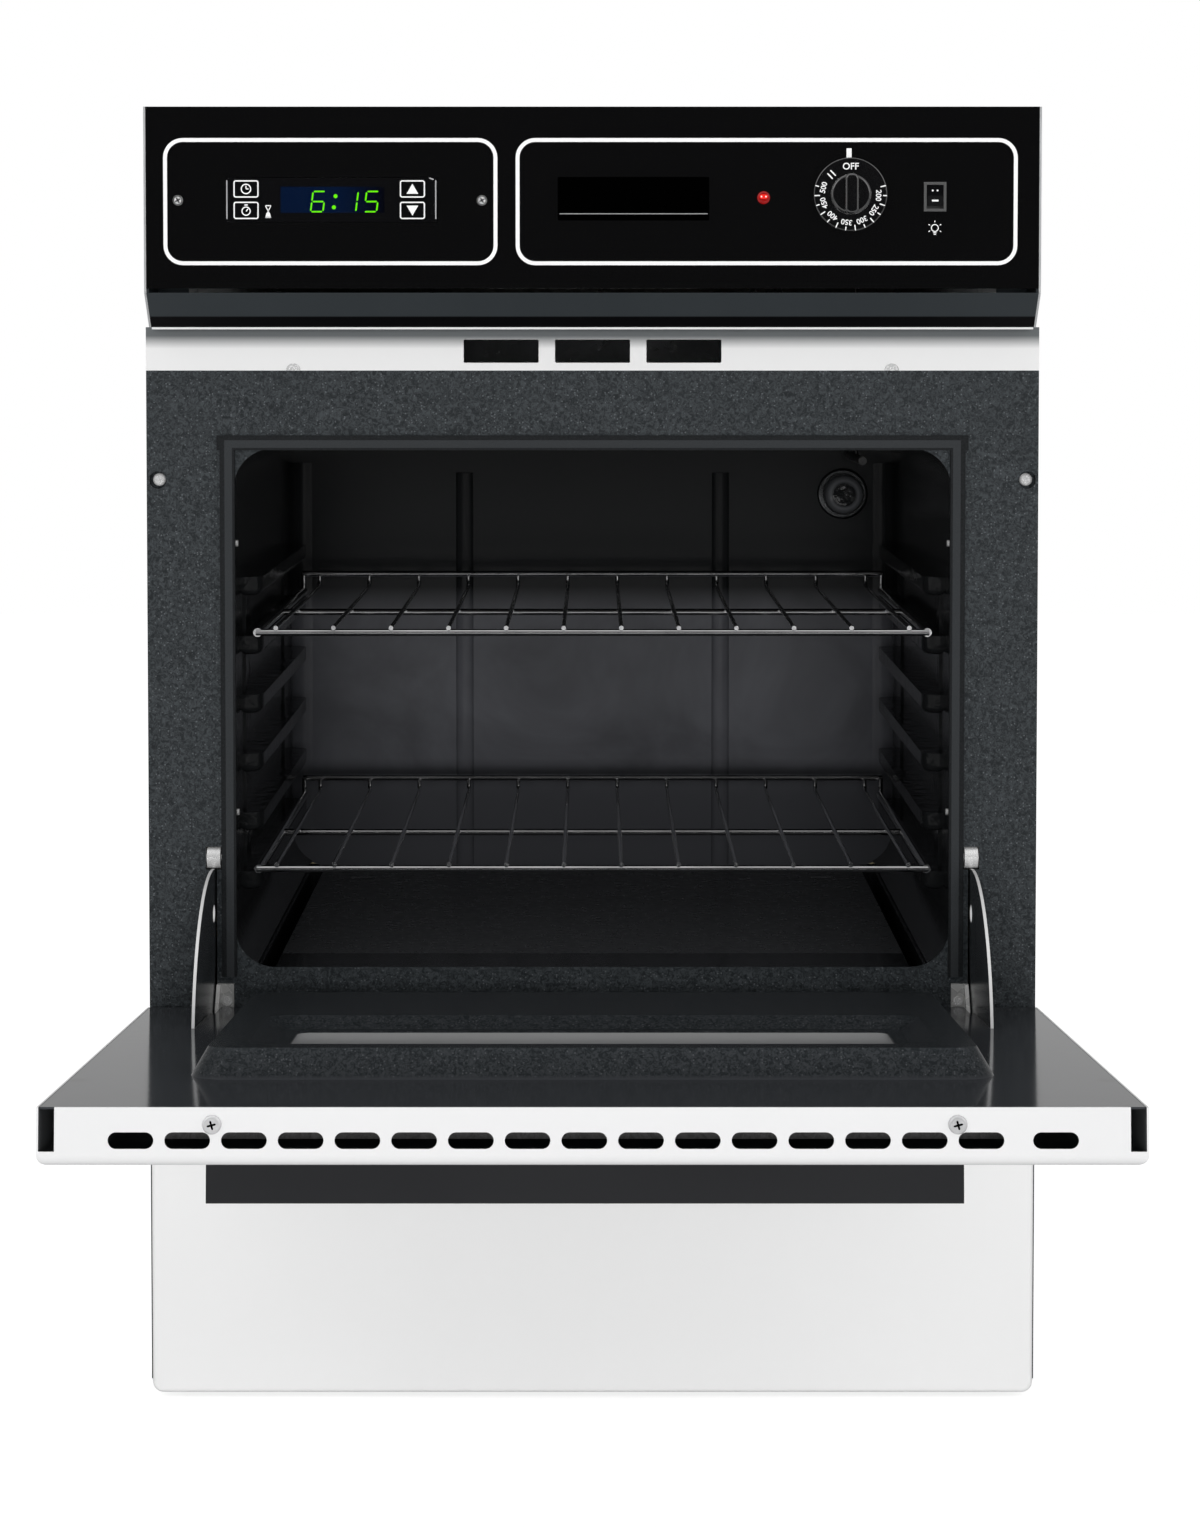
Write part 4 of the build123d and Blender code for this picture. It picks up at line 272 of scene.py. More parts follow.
def make_world():
    """White for the camera, an even grey for matt surfaces, and dark behind the camera for reflections."""
    world = bpy.data.worlds.new("studio")
    bpy.context.scene.world = world
    world.use_nodes = True
    tree = world.node_tree
    tree.nodes.clear()
    path = tree.nodes.new("ShaderNodeLightPath")
    place = tree.nodes.new("ShaderNodeTexCoord")
    axes = tree.nodes.new("ShaderNodeSeparateXYZ")
    tree.links.new(place.outputs["Generated"], axes.inputs[0])
    mirror = tree.nodes.new("ShaderNodeMapRange")
    mirror.inputs["From Min"].default_value, mirror.inputs["From Max"].default_value = MIRROR_TURN
    mirror.inputs["To Min"].default_value, mirror.inputs["To Max"].default_value = MIRROR_BRIGHTNESS
    tree.links.new(axes.outputs["Y"], mirror.inputs["Value"])
    lit = number_mix(tree, path.outputs["Is Glossy Ray"], MATT_BRIGHTNESS, mirror.outputs["Result"])
    seen = tree.nodes.new("ShaderNodeMath")
    seen.operation = "MAXIMUM"
    tree.links.new(path.outputs["Is Camera Ray"], seen.inputs[0])
    tree.links.new(path.outputs["Is Transmission Ray"], seen.inputs[1])
    background = tree.nodes.new("ShaderNodeBackground")
    background.inputs["Color"].default_value = (1, 1, 1, 1)
    tree.links.new(number_mix(tree, seen.outputs[0], lit, 1.0), background.inputs["Strength"])
    output = tree.nodes.new("ShaderNodeOutputWorld")
    tree.links.new(background.outputs[0], output.inputs["Surface"])


def make_stage():
    """A pale floor that keeps the object's shadow and is white to the camera elsewhere."""
    mesh = bpy.data.meshes.new("floor")
    corners = [(x * FLOOR_HALF, y * FLOOR_HALF, 0) for x, y in ((-1, -1), (1, -1), (1, 1), (-1, 1))]
    mesh.from_pydata(corners, [], [(0, 1, 2, 3)])
    floor = bpy.data.objects.new("floor", mesh)
    floor.location.z = -FLOOR_DROP
    bpy.context.scene.collection.objects.link(floor)
    look = Look("floor_white", FLOOR_COLOR, roughness=0.9, specular=0.0)
    path = look.node("ShaderNodeLightPath")
    shine = look.node("ShaderNodeEmission")
    shine.inputs["Color"].default_value = (1, 1, 1, 1)
    shine.inputs["Strength"].default_value = FLOOR_GLOW
    both = look.node("ShaderNodeAddShader")
    choose = look.node("ShaderNodeMixShader")
    look.link(look.shader.outputs[0], both.inputs[0])
    look.link(shine.outputs[0], both.inputs[1])
    look.link(path.outputs["Is Camera Ray"], choose.inputs[0])
    look.link(look.shader.outputs[0], choose.inputs[1])
    look.link(both.outputs[0], choose.inputs[2])
    look.link(choose.outputs[0], look.output.inputs["Surface"])
    mesh.materials.append(look.material)


# Materials. A pattern's scale is in waves or cells per metre.
ENAMEL_WAVE = 160
PAINT_PEEL = 240
PEEL_HEIGHT = 0.0003
GLASS_WAVE = 14


def toned(color, factor):
    """A colour made darker or lighter by a factor."""
    return tuple(part * factor for part in color)


class Look:
    """A material in the making: one Principled shader, with short calls that add nodes before it."""

    def __init__(self, name, color=(0.5, 0.5, 0.5), roughness=0.5, metallic=0.0, specular=0.5, coat=0.0,
                 coat_roughness=0.03):
        self.material = bpy.data.materials.new(name)
        self.material.use_nodes = True
        self.tree = self.material.node_tree
        self.tree.nodes.clear()
        self.shader = self.node("ShaderNodeBsdfPrincipled")
        self.output = self.node("ShaderNodeOutputMaterial")
        self.link(self.shader.outputs[0], self.output.inputs["Surface"])
        self.coordinates = None
        self.set("Base Color", (*color, 1))
        self.set("Roughness", roughness)
        self.set("Metallic", metallic)
        self.set("Specular IOR Level", specular)
        self.set("Coat Weight", coat)
        self.set("Coat Roughness", coat_roughness)

    def node(self, kind):
        """A new node in the material."""
        return self.tree.nodes.new(kind)

    def link(self, output, socket):
        """Joins an output to an input."""
        self.tree.links.new(output, socket)

    def feed(self, socket, value):
        """Gives an input a plain value, or joins an output to it."""
        if isinstance(value, (int, float, tuple)):
            socket.default_value = value
        else:
            self.link(value, socket)

    def set(self, name, value):
        """Sets one of the shader's own values."""
        self.shader.inputs[name].default_value = value

    def place(self, stretch=(1, 1, 1)):
        """Object coordinates, in metres, with each axis multiplied."""
        if self.coordinates is None:
            self.coordinates = self.node("ShaderNodeTexCoord").outputs["Object"]
        if stretch == (1, 1, 1):
            return self.coordinates
        mapping = self.node("ShaderNodeMapping")
        mapping.inputs["Scale"].default_value = stretch
        self.link(self.coordinates, mapping.inputs["Vector"])
        return mapping.outputs[0]

    def noise(self, scale, detail=2.0, roughness=0.5, stretch=(1, 1, 1), distortion=0.0):
        """Soft random waves, from 0 to 1."""
        node = self.node("ShaderNodeTexNoise")
        node.inputs["Scale"].default_value = scale
        node.inputs["Detail"].default_value = detail
        node.inputs["Roughness"].default_value = roughness
        node.inputs["Distortion"].default_value = distortion
        self.link(self.place(stretch), node.inputs["Vector"])
        return node.outputs["Fac"]

    def vector(self, operation, first, second):
        """A vector operation on two outputs or plain vectors."""
        node = self.node("ShaderNodeVectorMath")
        node.operation = operation
        self.feed(node.inputs[0], first)
        self.feed(node.inputs[1], second)
        return node

    def along(self, direction):
        """How far a point lies along a direction, in object coordinates."""
        return self.vector("DOT_PRODUCT", self.place(), direction).outputs["Value"]

    def normal(self):
        """The way a face looks, in object coordinates."""
        return self.node("ShaderNodeTexCoord").outputs["Normal"]

    def cells(self, scale):
        """A Voronoi pattern: the distance to each cell's middle, and a random number for the cell."""
        node = self.node("ShaderNodeTexVoronoi")
        node.inputs["Scale"].default_value = scale
        self.link(self.place(), node.inputs["Vector"])
        pick = self.node("ShaderNodeSeparateColor")
        self.link(node.outputs["Color"], pick.inputs[0])
        return node.outputs["Distance"], pick.outputs[0]

    def dots(self, scale, radius, share):
        """Small soft dots: one in each cell, kept in only a share of the cells."""
        core = 0.45
        distance, pick = self.cells(scale)
        near = self.span(distance, radius, radius * core)
        return self.math("MULTIPLY", near, self.math("LESS_THAN", pick, share))

    def span(self, value, low, high, to_low=0.0, to_high=1.0):
        """Maps a range of values to another, without going past its ends."""
        node = self.node("ShaderNodeMapRange")
        node.inputs["From Min"].default_value = low
        node.inputs["From Max"].default_value = high
        node.inputs["To Min"].default_value = to_low
        node.inputs["To Max"].default_value = to_high
        self.link(value, node.inputs["Value"])
        return node.outputs["Result"]

    def math(self, operation, first, second):
        """An operation on two outputs or plain numbers."""
        node = self.node("ShaderNodeMath")
        node.operation = operation
        self.feed(node.inputs[0], first)
        self.feed(node.inputs[1], second)
        return node.outputs[0]

    def absolute(self, value):
        """A value without its sign."""
        return self.math("ABSOLUTE", value, 0)

    def square_sum(self, first, second):
        """The squares of two values, added."""
        return self.math("ADD", self.math("MULTIPLY", first, first), self.math("MULTIPLY", second, second))

    def mix(self, factor, first, second):
        """Blends two colours, or outputs with colours, by a factor."""
        node = self.node("ShaderNodeMix")
        node.data_type = "RGBA"
        self.link(factor, node.inputs[0])
        for socket, value in ((node.inputs[6], first), (node.inputs[7], second)):
            self.feed(socket, (*value, 1) if isinstance(value, tuple) else value)
        return node.outputs[2]

    def color(self, output):
        """Joins an output to the shader's colour."""
        self.link(output, self.shader.inputs["Base Color"])

    def rough(self, value, low, high, ends=(0.3, 0.7)):
        """Takes the roughness from low to high as a value goes from one end to the other."""
        self.link(self.span(value, *ends, low, high), self.shader.inputs["Roughness"])

    def bump(self, height, strength, distance):
        """Bends the surface's shading by a height."""
        node = self.node("ShaderNodeBump")
        node.inputs["Strength"].default_value = strength
        node.inputs["Distance"].default_value = distance
        self.link(height, node.inputs["Height"])
        self.link(node.outputs[0], self.shader.inputs["Normal"])

    def peel(self, strength, scale=PAINT_PEEL):
        """The faint waviness of paint or enamel."""
        self.bump(self.noise(scale), strength, PEEL_HEIGHT)


def speckled_color(look, dark, light, speck):
    """The colour of porcelain enamel: a curly mottled ground under small pale specks."""
    curls = look.noise(330, detail=3, roughness=0.65, distortion=1.6)
    ground = look.mix(look.span(curls, 0.40, 0.62), dark, light)
    fine = look.dots(480, radius=0.32, share=0.30)
    large = look.dots(200, radius=0.15, share=0.08)
    specks = look.math("MULTIPLY", look.math("MAXIMUM", fine, large), 0.8)
    return look.mix(specks, ground, speck)


def speckled_enamel(name, dark, light, speck, gloss, specular=0.35, coat=0.0):
    """Porcelain enamel with specks and a slightly wavy gloss."""
    look = Look(name, dark, roughness=gloss, specular=specular, coat=coat, coat_roughness=0.06)
    look.color(speckled_color(look, dark, light, speck))
    wave = look.noise(ENAMEL_WAVE)
    look.bump(wave, strength=0.12, distance=0.0004)
    look.rough(wave, gloss * 0.85, gloss * 1.25)
    return look.material


def enamel_with_painted_light(name, dark, pale):
    """The back wall's enamel: near black, with painted light as a paler cloudy band between two heights and at its
    foot.
    """
    look = Look(name, dark, roughness=0.22, specular=0.25)
    low, high = PAINTED_LIGHT_HEIGHTS
    rise = look.along((0, 0, 1))
    band = look.math("MULTIPLY", look.span(rise, low - PAINTED_LIGHT_EDGE, low + PAINTED_LIGHT_EDGE),
                     look.span(rise, high + PAINTED_LIGHT_EDGE, high - PAINTED_LIGHT_EDGE))
    cloud = look.span(look.noise(9, detail=4, roughness=0.6, distortion=0.8), 0.25, 0.75, 0.45, 1.0)
    foot = look.span(rise, low + PAINTED_LIGHT_EDGE, low - PAINTED_LIGHT_EDGE, 0.0, 0.5)
    painted_light = look.math("MAXIMUM", look.math("MULTIPLY", band, cloud), foot)
    look.color(look.mix(painted_light, dark, pale))
    look.peel(0.08, ENAMEL_WAVE)
    return look.material


def liner_enamel(name):
    """The door liner's enamel: glossy on the flat, speckled on the raised plug, with painted shade in two dimples.
    """
    look = Look(name, LINER_FLAT, roughness=0.1, specular=0.06)
    depth = look.math("SUBTRACT", look.along(DOOR_ACROSS), DOOR_PLANE)
    raised = look.span(depth, *PLUG_RISE)
    plug = speckled_color(look, FRAME_DARK, PLUG_LIGHT, PLUG_SPECK)
    side = look.math("SUBTRACT", look.absolute(look.along((1, 0, 0))), DIMPLE_X)
    far = look.math("SUBTRACT", look.along(DOOR_ALONG), DIMPLE_REACH)
    dimple = look.math("LESS_THAN", look.square_sum(side, far), DIMPLE_RADIUS**2)
    # Painted shade: the two dimples take the SHADOW colour.
    look.color(look.mix(dimple, look.mix(raised, LINER_FLAT, plug), SHADOW))
    look.peel(0.08, ENAMEL_WAVE)
    look.rough(raised, 0.10, 0.26, ends=(0, 1))
    return look.material


def painted_shell(name, color, inner_shade):
    """The door's outer pan: gloss white outside, with painted shade on its inner faces, told apart by which way
    its faces look.
    """
    look = Look(name, color, roughness=0.24, specular=0.4, coat=0.3)
    away = look.vector("SUBTRACT", look.place(), DOOR_MIDDLE).outputs["Vector"]
    facing = look.vector("DOT_PRODUCT", away, look.normal()).outputs["Value"]
    look.color(look.mix(look.math("LESS_THAN", facing, 0.0), color, inner_shade))
    look.peel(0.04)
    return look.material


def shaded_strip(name, color, shade):
    """Gloss white paint with a painted shadow: it turns grey towards its upper edge, where the control panel
    overhangs it.
    """
    look = Look(name, color, roughness=0.3, specular=0.3)
    look.color(look.mix(look.span(look.along((0, 0, 1)), *VENT_SHADE), color, shade))
    look.peel(0.04)
    return look.material


def paint_with_painted_reflection(name, upper, lower):
    """The housing's satin paint with a painted reflection: a grey tone above its bend stands for the reflection on
    the upper facet, and another tone lies below it.
    """
    look = Look(name, lower, roughness=0.35, specular=0.08)
    above = look.span(look.along((0, 0, 1)), *HOUSING_BEND)
    tone = look.span(look.noise(8, detail=3, roughness=0.6, stretch=(1, 0.2, 0.2)), 0.3, 0.7)
    look.color(look.mix(above, lower, look.mix(tone, toned(upper, 0.86), upper)))
    look.peel(0.02)
    return look.material


def plate_with_edge_highlight(name, face, edge):
    """A plate whose flat sides are dull and dark, with a painted highlight in the bright colour on its cut edge.
    """
    look = Look(name, face, roughness=0.3, specular=0.3)
    across = look.vector("DOT_PRODUCT", look.normal(), (1, 0, 0)).outputs["Value"]
    flat = look.math("GREATER_THAN", look.absolute(across), 0.7)
    stain = look.span(look.noise(60, detail=4, roughness=0.6), 0.35, 0.7)
    look.color(look.mix(flat, edge, look.mix(stain, face, toned(face, 1.7))))
    look.rough(flat, 0.35, 0.22, ends=(0, 1))
    look.bump(look.noise(500), strength=0.05, distance=0.0002)
    return look.material


def framed_strip(name, dark, light):
    """The door's seal: dark braid with a paler band beside the opening."""
    look = Look(name, dark, roughness=0.6, specular=0.2)
    side = look.math("SUBTRACT", look.absolute(look.along((1, 0, 0))), CAVITY_HALF)
    above = look.math("SUBTRACT", look.along((0, 0, 1)), CAVITY_TOP)
    away = look.math("MAXIMUM", side, above)
    near, far = SEAL_BAND
    band = look.math("MULTIPLY", look.math("LESS_THAN", away, far), look.math("GREATER_THAN", away, near))
    braid = look.span(look.noise(700), 0.3, 0.7)
    look.color(look.mix(band, look.mix(braid, dark, toned(dark, 1.5)), light))
    look.bump(braid, strength=0.4, distance=0.0005)
    return look.material


def gloss_enamel(name, color, gloss, wave=0.05, coat=0.5):
    """Smooth enamel or paint with a faint orange peel and slight changes of tone."""
    look = Look(name, color, roughness=gloss, coat=coat)
    tone = look.span(look.noise(3, detail=3), 0.3, 0.7)
    look.color(look.mix(tone, toned(color, 0.965), color))
    look.peel(wave)
    look.rough(look.noise(11, detail=3, roughness=0.6), gloss * 0.85, gloss * 1.2)
    return look.material


def zinc_sheet(name, color, spangle, rough=0.32, metallic=1.0):
    """Zinc-coated sheet: crystal patches of slightly different brightness."""
    look = Look(name, color, roughness=rough, metallic=metallic)
    _, pick = look.cells(spangle)
    tone = look.math("MULTIPLY", look.math("ADD", pick, look.noise(140, detail=3, roughness=0.6)), 0.5)
    look.color(look.mix(look.span(tone, 0.2, 0.8), toned(color, 0.82), color))
    look.rough(tone, rough * 0.8, rough * 1.35, ends=(0.2, 0.8))
    look.bump(look.noise(320), strength=0.05, distance=0.0002)
    return look.material


def worked_metal(name, color, rough, grain=(1, 1, 1), depth=0.04, metallic=1.0):
    """Metal with fine working marks, stretched along the axes whose factor is small."""
    look = Look(name, color, roughness=rough, metallic=metallic)
    marks = look.noise(900, detail=3, roughness=0.6, stretch=grain)
    stains = look.noise(25, detail=3, roughness=0.6)
    look.color(look.mix(look.span(stains, 0.35, 0.75), color, toned(color, 0.7)))
    look.rough(marks, rough * 0.75, rough * 1.3)
    look.bump(marks, depth, distance=0.0002)
    return look.material


def black_glass(name, color, rough=0.03):
    """Backed glass: near black, very smooth, with the faintest waviness."""
    look = Look(name, color, roughness=rough, coat=0.4, coat_roughness=0.01)
    look.rough(look.noise(9, detail=3, roughness=0.6), rough, rough * 2.2)
    look.bump(look.noise(GLASS_WAVE, detail=1, roughness=0.4), strength=0.02, distance=0.0004)
    return look.material


def moulded_plastic(name, color, rough):
    """Moulded plastic with a very fine grain."""
    look = Look(name, color, roughness=rough)
    look.bump(look.noise(2400), strength=0.06, distance=0.0001)
    look.rough(look.noise(30, detail=3, roughness=0.6), rough * 0.85, rough * 1.25)
    return look.material


def lacquered_plastic(name, color):
    """Moulded plastic under a hard lacquer, with clear lines of light along its edges."""
    look = Look(name, color, roughness=0.2, specular=0.2, coat=1.0, coat_roughness=0.06)
    look.set("Coat IOR", 2.0)
    look.bump(look.noise(900), strength=0.02, distance=0.0001)
    return look.material


def faded_glass(name, left, right):
    """The display's dark glass, which turns from one tone to another across it."""
    look = Look(name, left, roughness=0.1)
    look.color(look.mix(look.span(look.along((1, 0, 0)), *DISPLAY_FADE), left, right))
    look.bump(look.noise(GLASS_WAVE, detail=1, roughness=0.4), strength=0.02, distance=0.0004)
    return look.material


def wet_enamel(name, color):
    """Thick black enamel with an uneven, mirror-like surface."""
    look = Look(name, color, roughness=0.1, specular=0.16)
    look.bump(look.noise(70, detail=3, distortion=0.6), strength=0.6, distance=0.002)
    return look.material


def lamp_lens(name, bowl, rim_highlight, glint):
    """Pressed glass over the oven lamp: a dark bowl with a few painted glints in its middle, within a paler
    painted highlight ring.
    """
    look = Look(name, bowl, roughness=0.08, specular=0.8)
    side = look.math("SUBTRACT", look.along((1, 0, 0)), LAMP_X)
    rise = look.math("SUBTRACT", look.along((0, 0, 1)), LAMP_Z)
    away = look.math("POWER", look.square_sum(side, rise), 0.5)
    edge = look.math("MULTIPLY", look.span(away, 0.58 * LAMP_RADIUS, 0.74 * LAMP_RADIUS),
                     look.span(away, 1.02 * LAMP_RADIUS, 0.80 * LAMP_RADIUS, 0.35, 1.0))
    inner = look.math("LESS_THAN", away, 0.5 * LAMP_RADIUS)
    glints = look.math("MULTIPLY", look.dots(170, radius=0.22, share=0.3), inner)
    look.color(look.mix(glints, look.mix(edge, bowl, rim_highlight), glint))
    look.bump(look.noise(170), strength=0.5, distance=0.001)
    return look.material


def coated_glass(name, color, rough):
    """Glass with a pale haze that shows most along its surface, and lets a little light through."""
    look = Look(name, color, roughness=rough)
    look.set("Transmission Weight", 0.25)
    look.set("Sheen Weight", 1.0)
    look.set("Sheen Roughness", 0.25)
    smear = look.noise(14, detail=3, roughness=0.6)
    look.color(look.mix(look.span(smear, 0.3, 0.7), toned(color, 0.8), color))
    look.rough(smear, rough, rough * 2)
    return look.material


def wool(name, color):
    """Mineral wool: tangled fibres."""
    look = Look(name, color, roughness=0.95, specular=0.1)
    fibre = look.noise(160, detail=6, roughness=0.7, distortion=2.5)
    look.color(look.mix(look.span(fibre, 0.35, 0.65), toned(color, 0.55), color))
    look.bump(fibre, strength=0.8, distance=0.002)
    return look.material


def glow(name, color, strength):
    """A lit segment or lamp."""
    look = Look(name, toned(color, 0.15), roughness=0.15)
    look.set("Emission Color", (*color, 1))
    flicker = look.span(look.noise(300), 0.3, 0.7, strength * 0.9, strength * 1.05)
    look.link(flicker, look.shader.inputs["Emission Strength"])
    return look.material


def printed(name, color, rough=0.45, specular=0.4):
    """Screen-printed ink: dense, slightly uneven at its surface."""
    look = Look(name, color, roughness=rough, specular=specular)
    ink = look.noise(1500)
    look.color(look.mix(look.span(ink, 0.35, 0.65), toned(color, 0.93), color))
    look.bump(ink, strength=0.08, distance=0.00005)
    return look.material


FRAME_DARK, FRAME_LIGHT, FRAME_SPECK = (0.015, 0.018, 0.020), (0.052, 0.059, 0.064), (0.13, 0.14, 0.15)
PLUG_LIGHT, PLUG_SPECK = (0.040, 0.044, 0.048), (0.085, 0.09, 0.097)
LINER_FLAT = (0.041, 0.044, 0.049)
# SHADOW is painted shade for the liner's dimples.
SHADOW = (0.003, 0.0032, 0.0035)
OVEN_BLACK, OVEN_MOTTLE = (0.007, 0.0075, 0.008), (0.012, 0.013, 0.014)
DEEP_BLACK = (0.003, 0.003, 0.0035)

# The look of each material slot
looks = {
    "frame_enamel": speckled_enamel("frame_enamel", FRAME_DARK, FRAME_LIGHT, FRAME_SPECK, 0.42, specular=0.3),
    "cavity_enamel": speckled_enamel("cavity_enamel", OVEN_BLACK, OVEN_MOTTLE, OVEN_MOTTLE, 0.2, specular=0.4,
                                     coat=0.05),
    "pan_enamel": speckled_enamel("pan_enamel", (0.010, 0.012, 0.014), (0.03, 0.034, 0.038),
                                  (0.25, 0.26, 0.27), 0.2, coat=0.4),
    "white_enamel": gloss_enamel("white_enamel", (0.83, 0.83, 0.835), 0.22),
    "handle": gloss_enamel("handle", (0.0125, 0.013, 0.015), 0.42, wave=0.04, coat=0.0),
    "casing": zinc_sheet("casing", (0.66, 0.67, 0.68), spangle=130),
    "hinge_steel": zinc_sheet("hinge_steel", (0.66, 0.66, 0.65), spangle=160, rough=0.28, metallic=0.4),
    "trim": worked_metal("trim", (0.62, 0.63, 0.64), 0.35, grain=(1, 1, 0.02), metallic=0.35),
    "chrome_wire": worked_metal("chrome_wire", (0.78, 0.78, 0.79), 0.12, depth=0.02),
    "grid": worked_metal("grid", (0.72, 0.72, 0.73), 0.16, grain=(0.03, 1, 1), depth=0.03),
    "bright_screw": worked_metal("bright_screw", (0.92, 0.92, 0.92), 0.25, metallic=0.35),
    "burner_steel": worked_metal("burner_steel", (0.42, 0.41, 0.40), 0.4),
    "brass": worked_metal("brass", (0.72, 0.50, 0.20), 0.3),
    "cast_body": worked_metal("cast_body", (0.55, 0.55, 0.55), 0.5, depth=0.25),
    "pipe": worked_metal("pipe", (0.06, 0.06, 0.062), 0.5, depth=0.2, metallic=0.6),
    "panel_glass": black_glass("panel_glass", (0.0028, 0.0028, 0.003)),
    "smoked_glass": black_glass("smoked_glass", (0.004, 0.004, 0.005), 0.04),
    "window_glass": coated_glass("window_glass", (0.30, 0.31, 0.32), 0.08),
    "black_plastic": moulded_plastic("black_plastic", (0.0035, 0.0035, 0.004), 0.08),
    "ceramic": moulded_plastic("ceramic", (0.72, 0.70, 0.64), 0.6),
    "gasket": framed_strip("gasket", (0.010, 0.011, 0.012), (0.034, 0.037, 0.040)),
    "insulation": wool("insulation", (0.70, 0.62, 0.40)),
    "indicator": glow("indicator", (0.50, 0.006, 0.006), 0.45),
}

# The look of each node that differs from the rest of its slot
own_looks = {
    "door_liner": liner_enamel("liner_enamel"),
    # Painted shade: the door skin's inner faces are dark grey, so the slots in its top read dark.
    "door_skin": painted_shell("door_white", (0.80, 0.80, 0.805), (0.25, 0.26, 0.27)),
    # Painted shadow: the vent strip turns grey under the control panel's overhang.
    "vent_panel": shaded_strip("vent_white", (0.80, 0.80, 0.80), (0.13, 0.14, 0.145)),
    "thermostat_knob": lacquered_plastic("knob_black", DEEP_BLACK),
    "thermostat": worked_metal("bulb_metal", (0.10, 0.10, 0.10), 0.35),
    # Painted highlight: the hinge arms' edges are bright.
    "hinge_arms": plate_with_edge_highlight("hinge_plate", (0.030, 0.033, 0.036), (0.75, 0.75, 0.75)),
    "rocker_bezel": moulded_plastic("switch_grey", (0.082, 0.082, 0.082), 0.3),
    # Painted reflection: grey on the housing's upper facet, black below its bend.
    "control_housing": paint_with_painted_reflection("housing_painted_reflection", (0.043, 0.050, 0.055), DEEP_BLACK),
    "door_screws": worked_metal("door_screw", (0.74, 0.74, 0.75), 0.2, metallic=0.45),
    "door_insulation": wool("door_wool", (0.28, 0.28, 0.28)),
    "lamp_holder": worked_metal("lamp_ring", (0.16, 0.165, 0.17), 0.2),
    # Painted light: a paler band on the back wall between the racks and at its foot.
    "cavity_back": enamel_with_painted_light("back_enamel_painted_light", OVEN_BLACK, (0.080, 0.082, 0.092)),
    # Painted light: the drawer front is a lighter copy of the white enamel, to offset the shade under the open
    # door.
    "drawer_front": gloss_enamel("drawer_white", (0.93, 0.93, 0.93), 0.22),
    "oven_bottom": speckled_enamel("floor_enamel", (0.030, 0.031, 0.033), (0.052, 0.054, 0.058),
                                   (0.06, 0.062, 0.066), 0.3),
    "display_window": faded_glass("display_fade", (0.0008, 0.006, 0.026), (0.0008, 0.001, 0.003)),
    # Painted highlights: a pale ring and white glints on the lamp's glass.
    "lamp_bulb": lamp_lens("lamp_lens", (0.006, 0.0065, 0.007), (0.075, 0.078, 0.083), (0.9, 0.9, 0.9)),
    "rack_guides": wet_enamel("guide_enamel", OVEN_BLACK),
}
ink_white = printed("ink_white", (0.95, 0.95, 0.95), specular=0.1)
ink_grey = printed("ink_grey", (0.42, 0.42, 0.43))
# Dark ink for print, also used as painted shade in the screw recesses.
ink_and_shade_dark = printed("ink_and_shade_dark", (0.0003, 0.0003, 0.0003), 0.9, specular=0.0)
lamp_core = glow("lamp_core", (1.0, 0.02, 0.012), 0.9)
segment_green = glow("segment_green", (0.13, 0.79, 0.0), 1.0)


def dress_nodes():
    """Gives every CAD node its own look, or the look of its material slot."""
    slots = {part["node"]: part["material_slot"] for part in frame["record"]["subparts"]}
    for name, node in nodes.items():
        look = own_looks[name] if name in own_looks else looks[slots[name]]
        node.data.materials.clear()
        node.data.materials.append(look)


# Shapes of flat marks. Points are (x, z) in millimetres, seen from the front.
def rounded(x0, x1, z0, z1, radius, steps=8):
    """The corner points of a rectangle with round corners."""
    points = []
    corners = ((x1 - radius, z1 - radius, 0), (x0 + radius, z1 - radius, 90),
               (x0 + radius, z0 + radius, 180), (x1 - radius, z0 + radius, 270))
    for x, z, start in corners:
        for step in range(steps + 1):
            angle = math.radians(start + 90 * step / steps)
            points.append((x + radius * math.cos(angle), z + radius * math.sin(angle)))
    return points


def ring(outer, inner):
    """Quads between two outlines with the same number of points."""
    count = len(outer)
    return [[outer[place], outer[(place + 1) % count], inner[(place + 1) % count], inner[place]]
            for place in range(count)]


def outline(x0, x1, z0, z1, radius, width):
    """A rounded frame of even width."""
    return ring(rounded(x0, x1, z0, z1, radius),
                rounded(x0 + width, x1 - width, z0 + width, z1 - width, radius - width))


def disc(x, z, radius, steps=20):
    """A circle as one face."""
    angles = [2 * math.pi * step / steps for step in range(steps)]
    return [(x + radius * math.cos(angle), z + radius * math.sin(angle)) for angle in angles]


def circle_ring(x, z, radius, width, steps=24):
    """A circle of even width."""
    return ring(disc(x, z, radius, steps), disc(x, z, radius - width, steps))


def bar(x0, z0, x1, z1, width):
    """A straight stroke with pointed ends."""
    along = Vector((x1 - x0, z1 - z0)).normalized()
    side = Vector((-along.y, along.x)) * width / 2
    tip = along * width / 2
    start, end = Vector((x0, z0)), Vector((x1, z1))
    return [tuple(point) for point in (start, start + tip + side, end - tip + side, end, end - tip - side,
                                       start + tip - side)]


def spoke(x, z, angle, inner, outer, width):
    """A stroke along a radius, at an angle in degrees clockwise from the top."""
    across, up = math.sin(math.radians(angle)), math.cos(math.radians(angle))
    return bar(x + inner * across, z + inner * up, x + outer * across, z + outer * up, width)


def cross(x, z, across, up, width):
    """Two strokes at right angles through a point. The first one's end is given from that point."""
    return [bar(x - across, z - up, x + across, z + up, width),
            bar(x - up, z + across, x + up, z - across, width)]


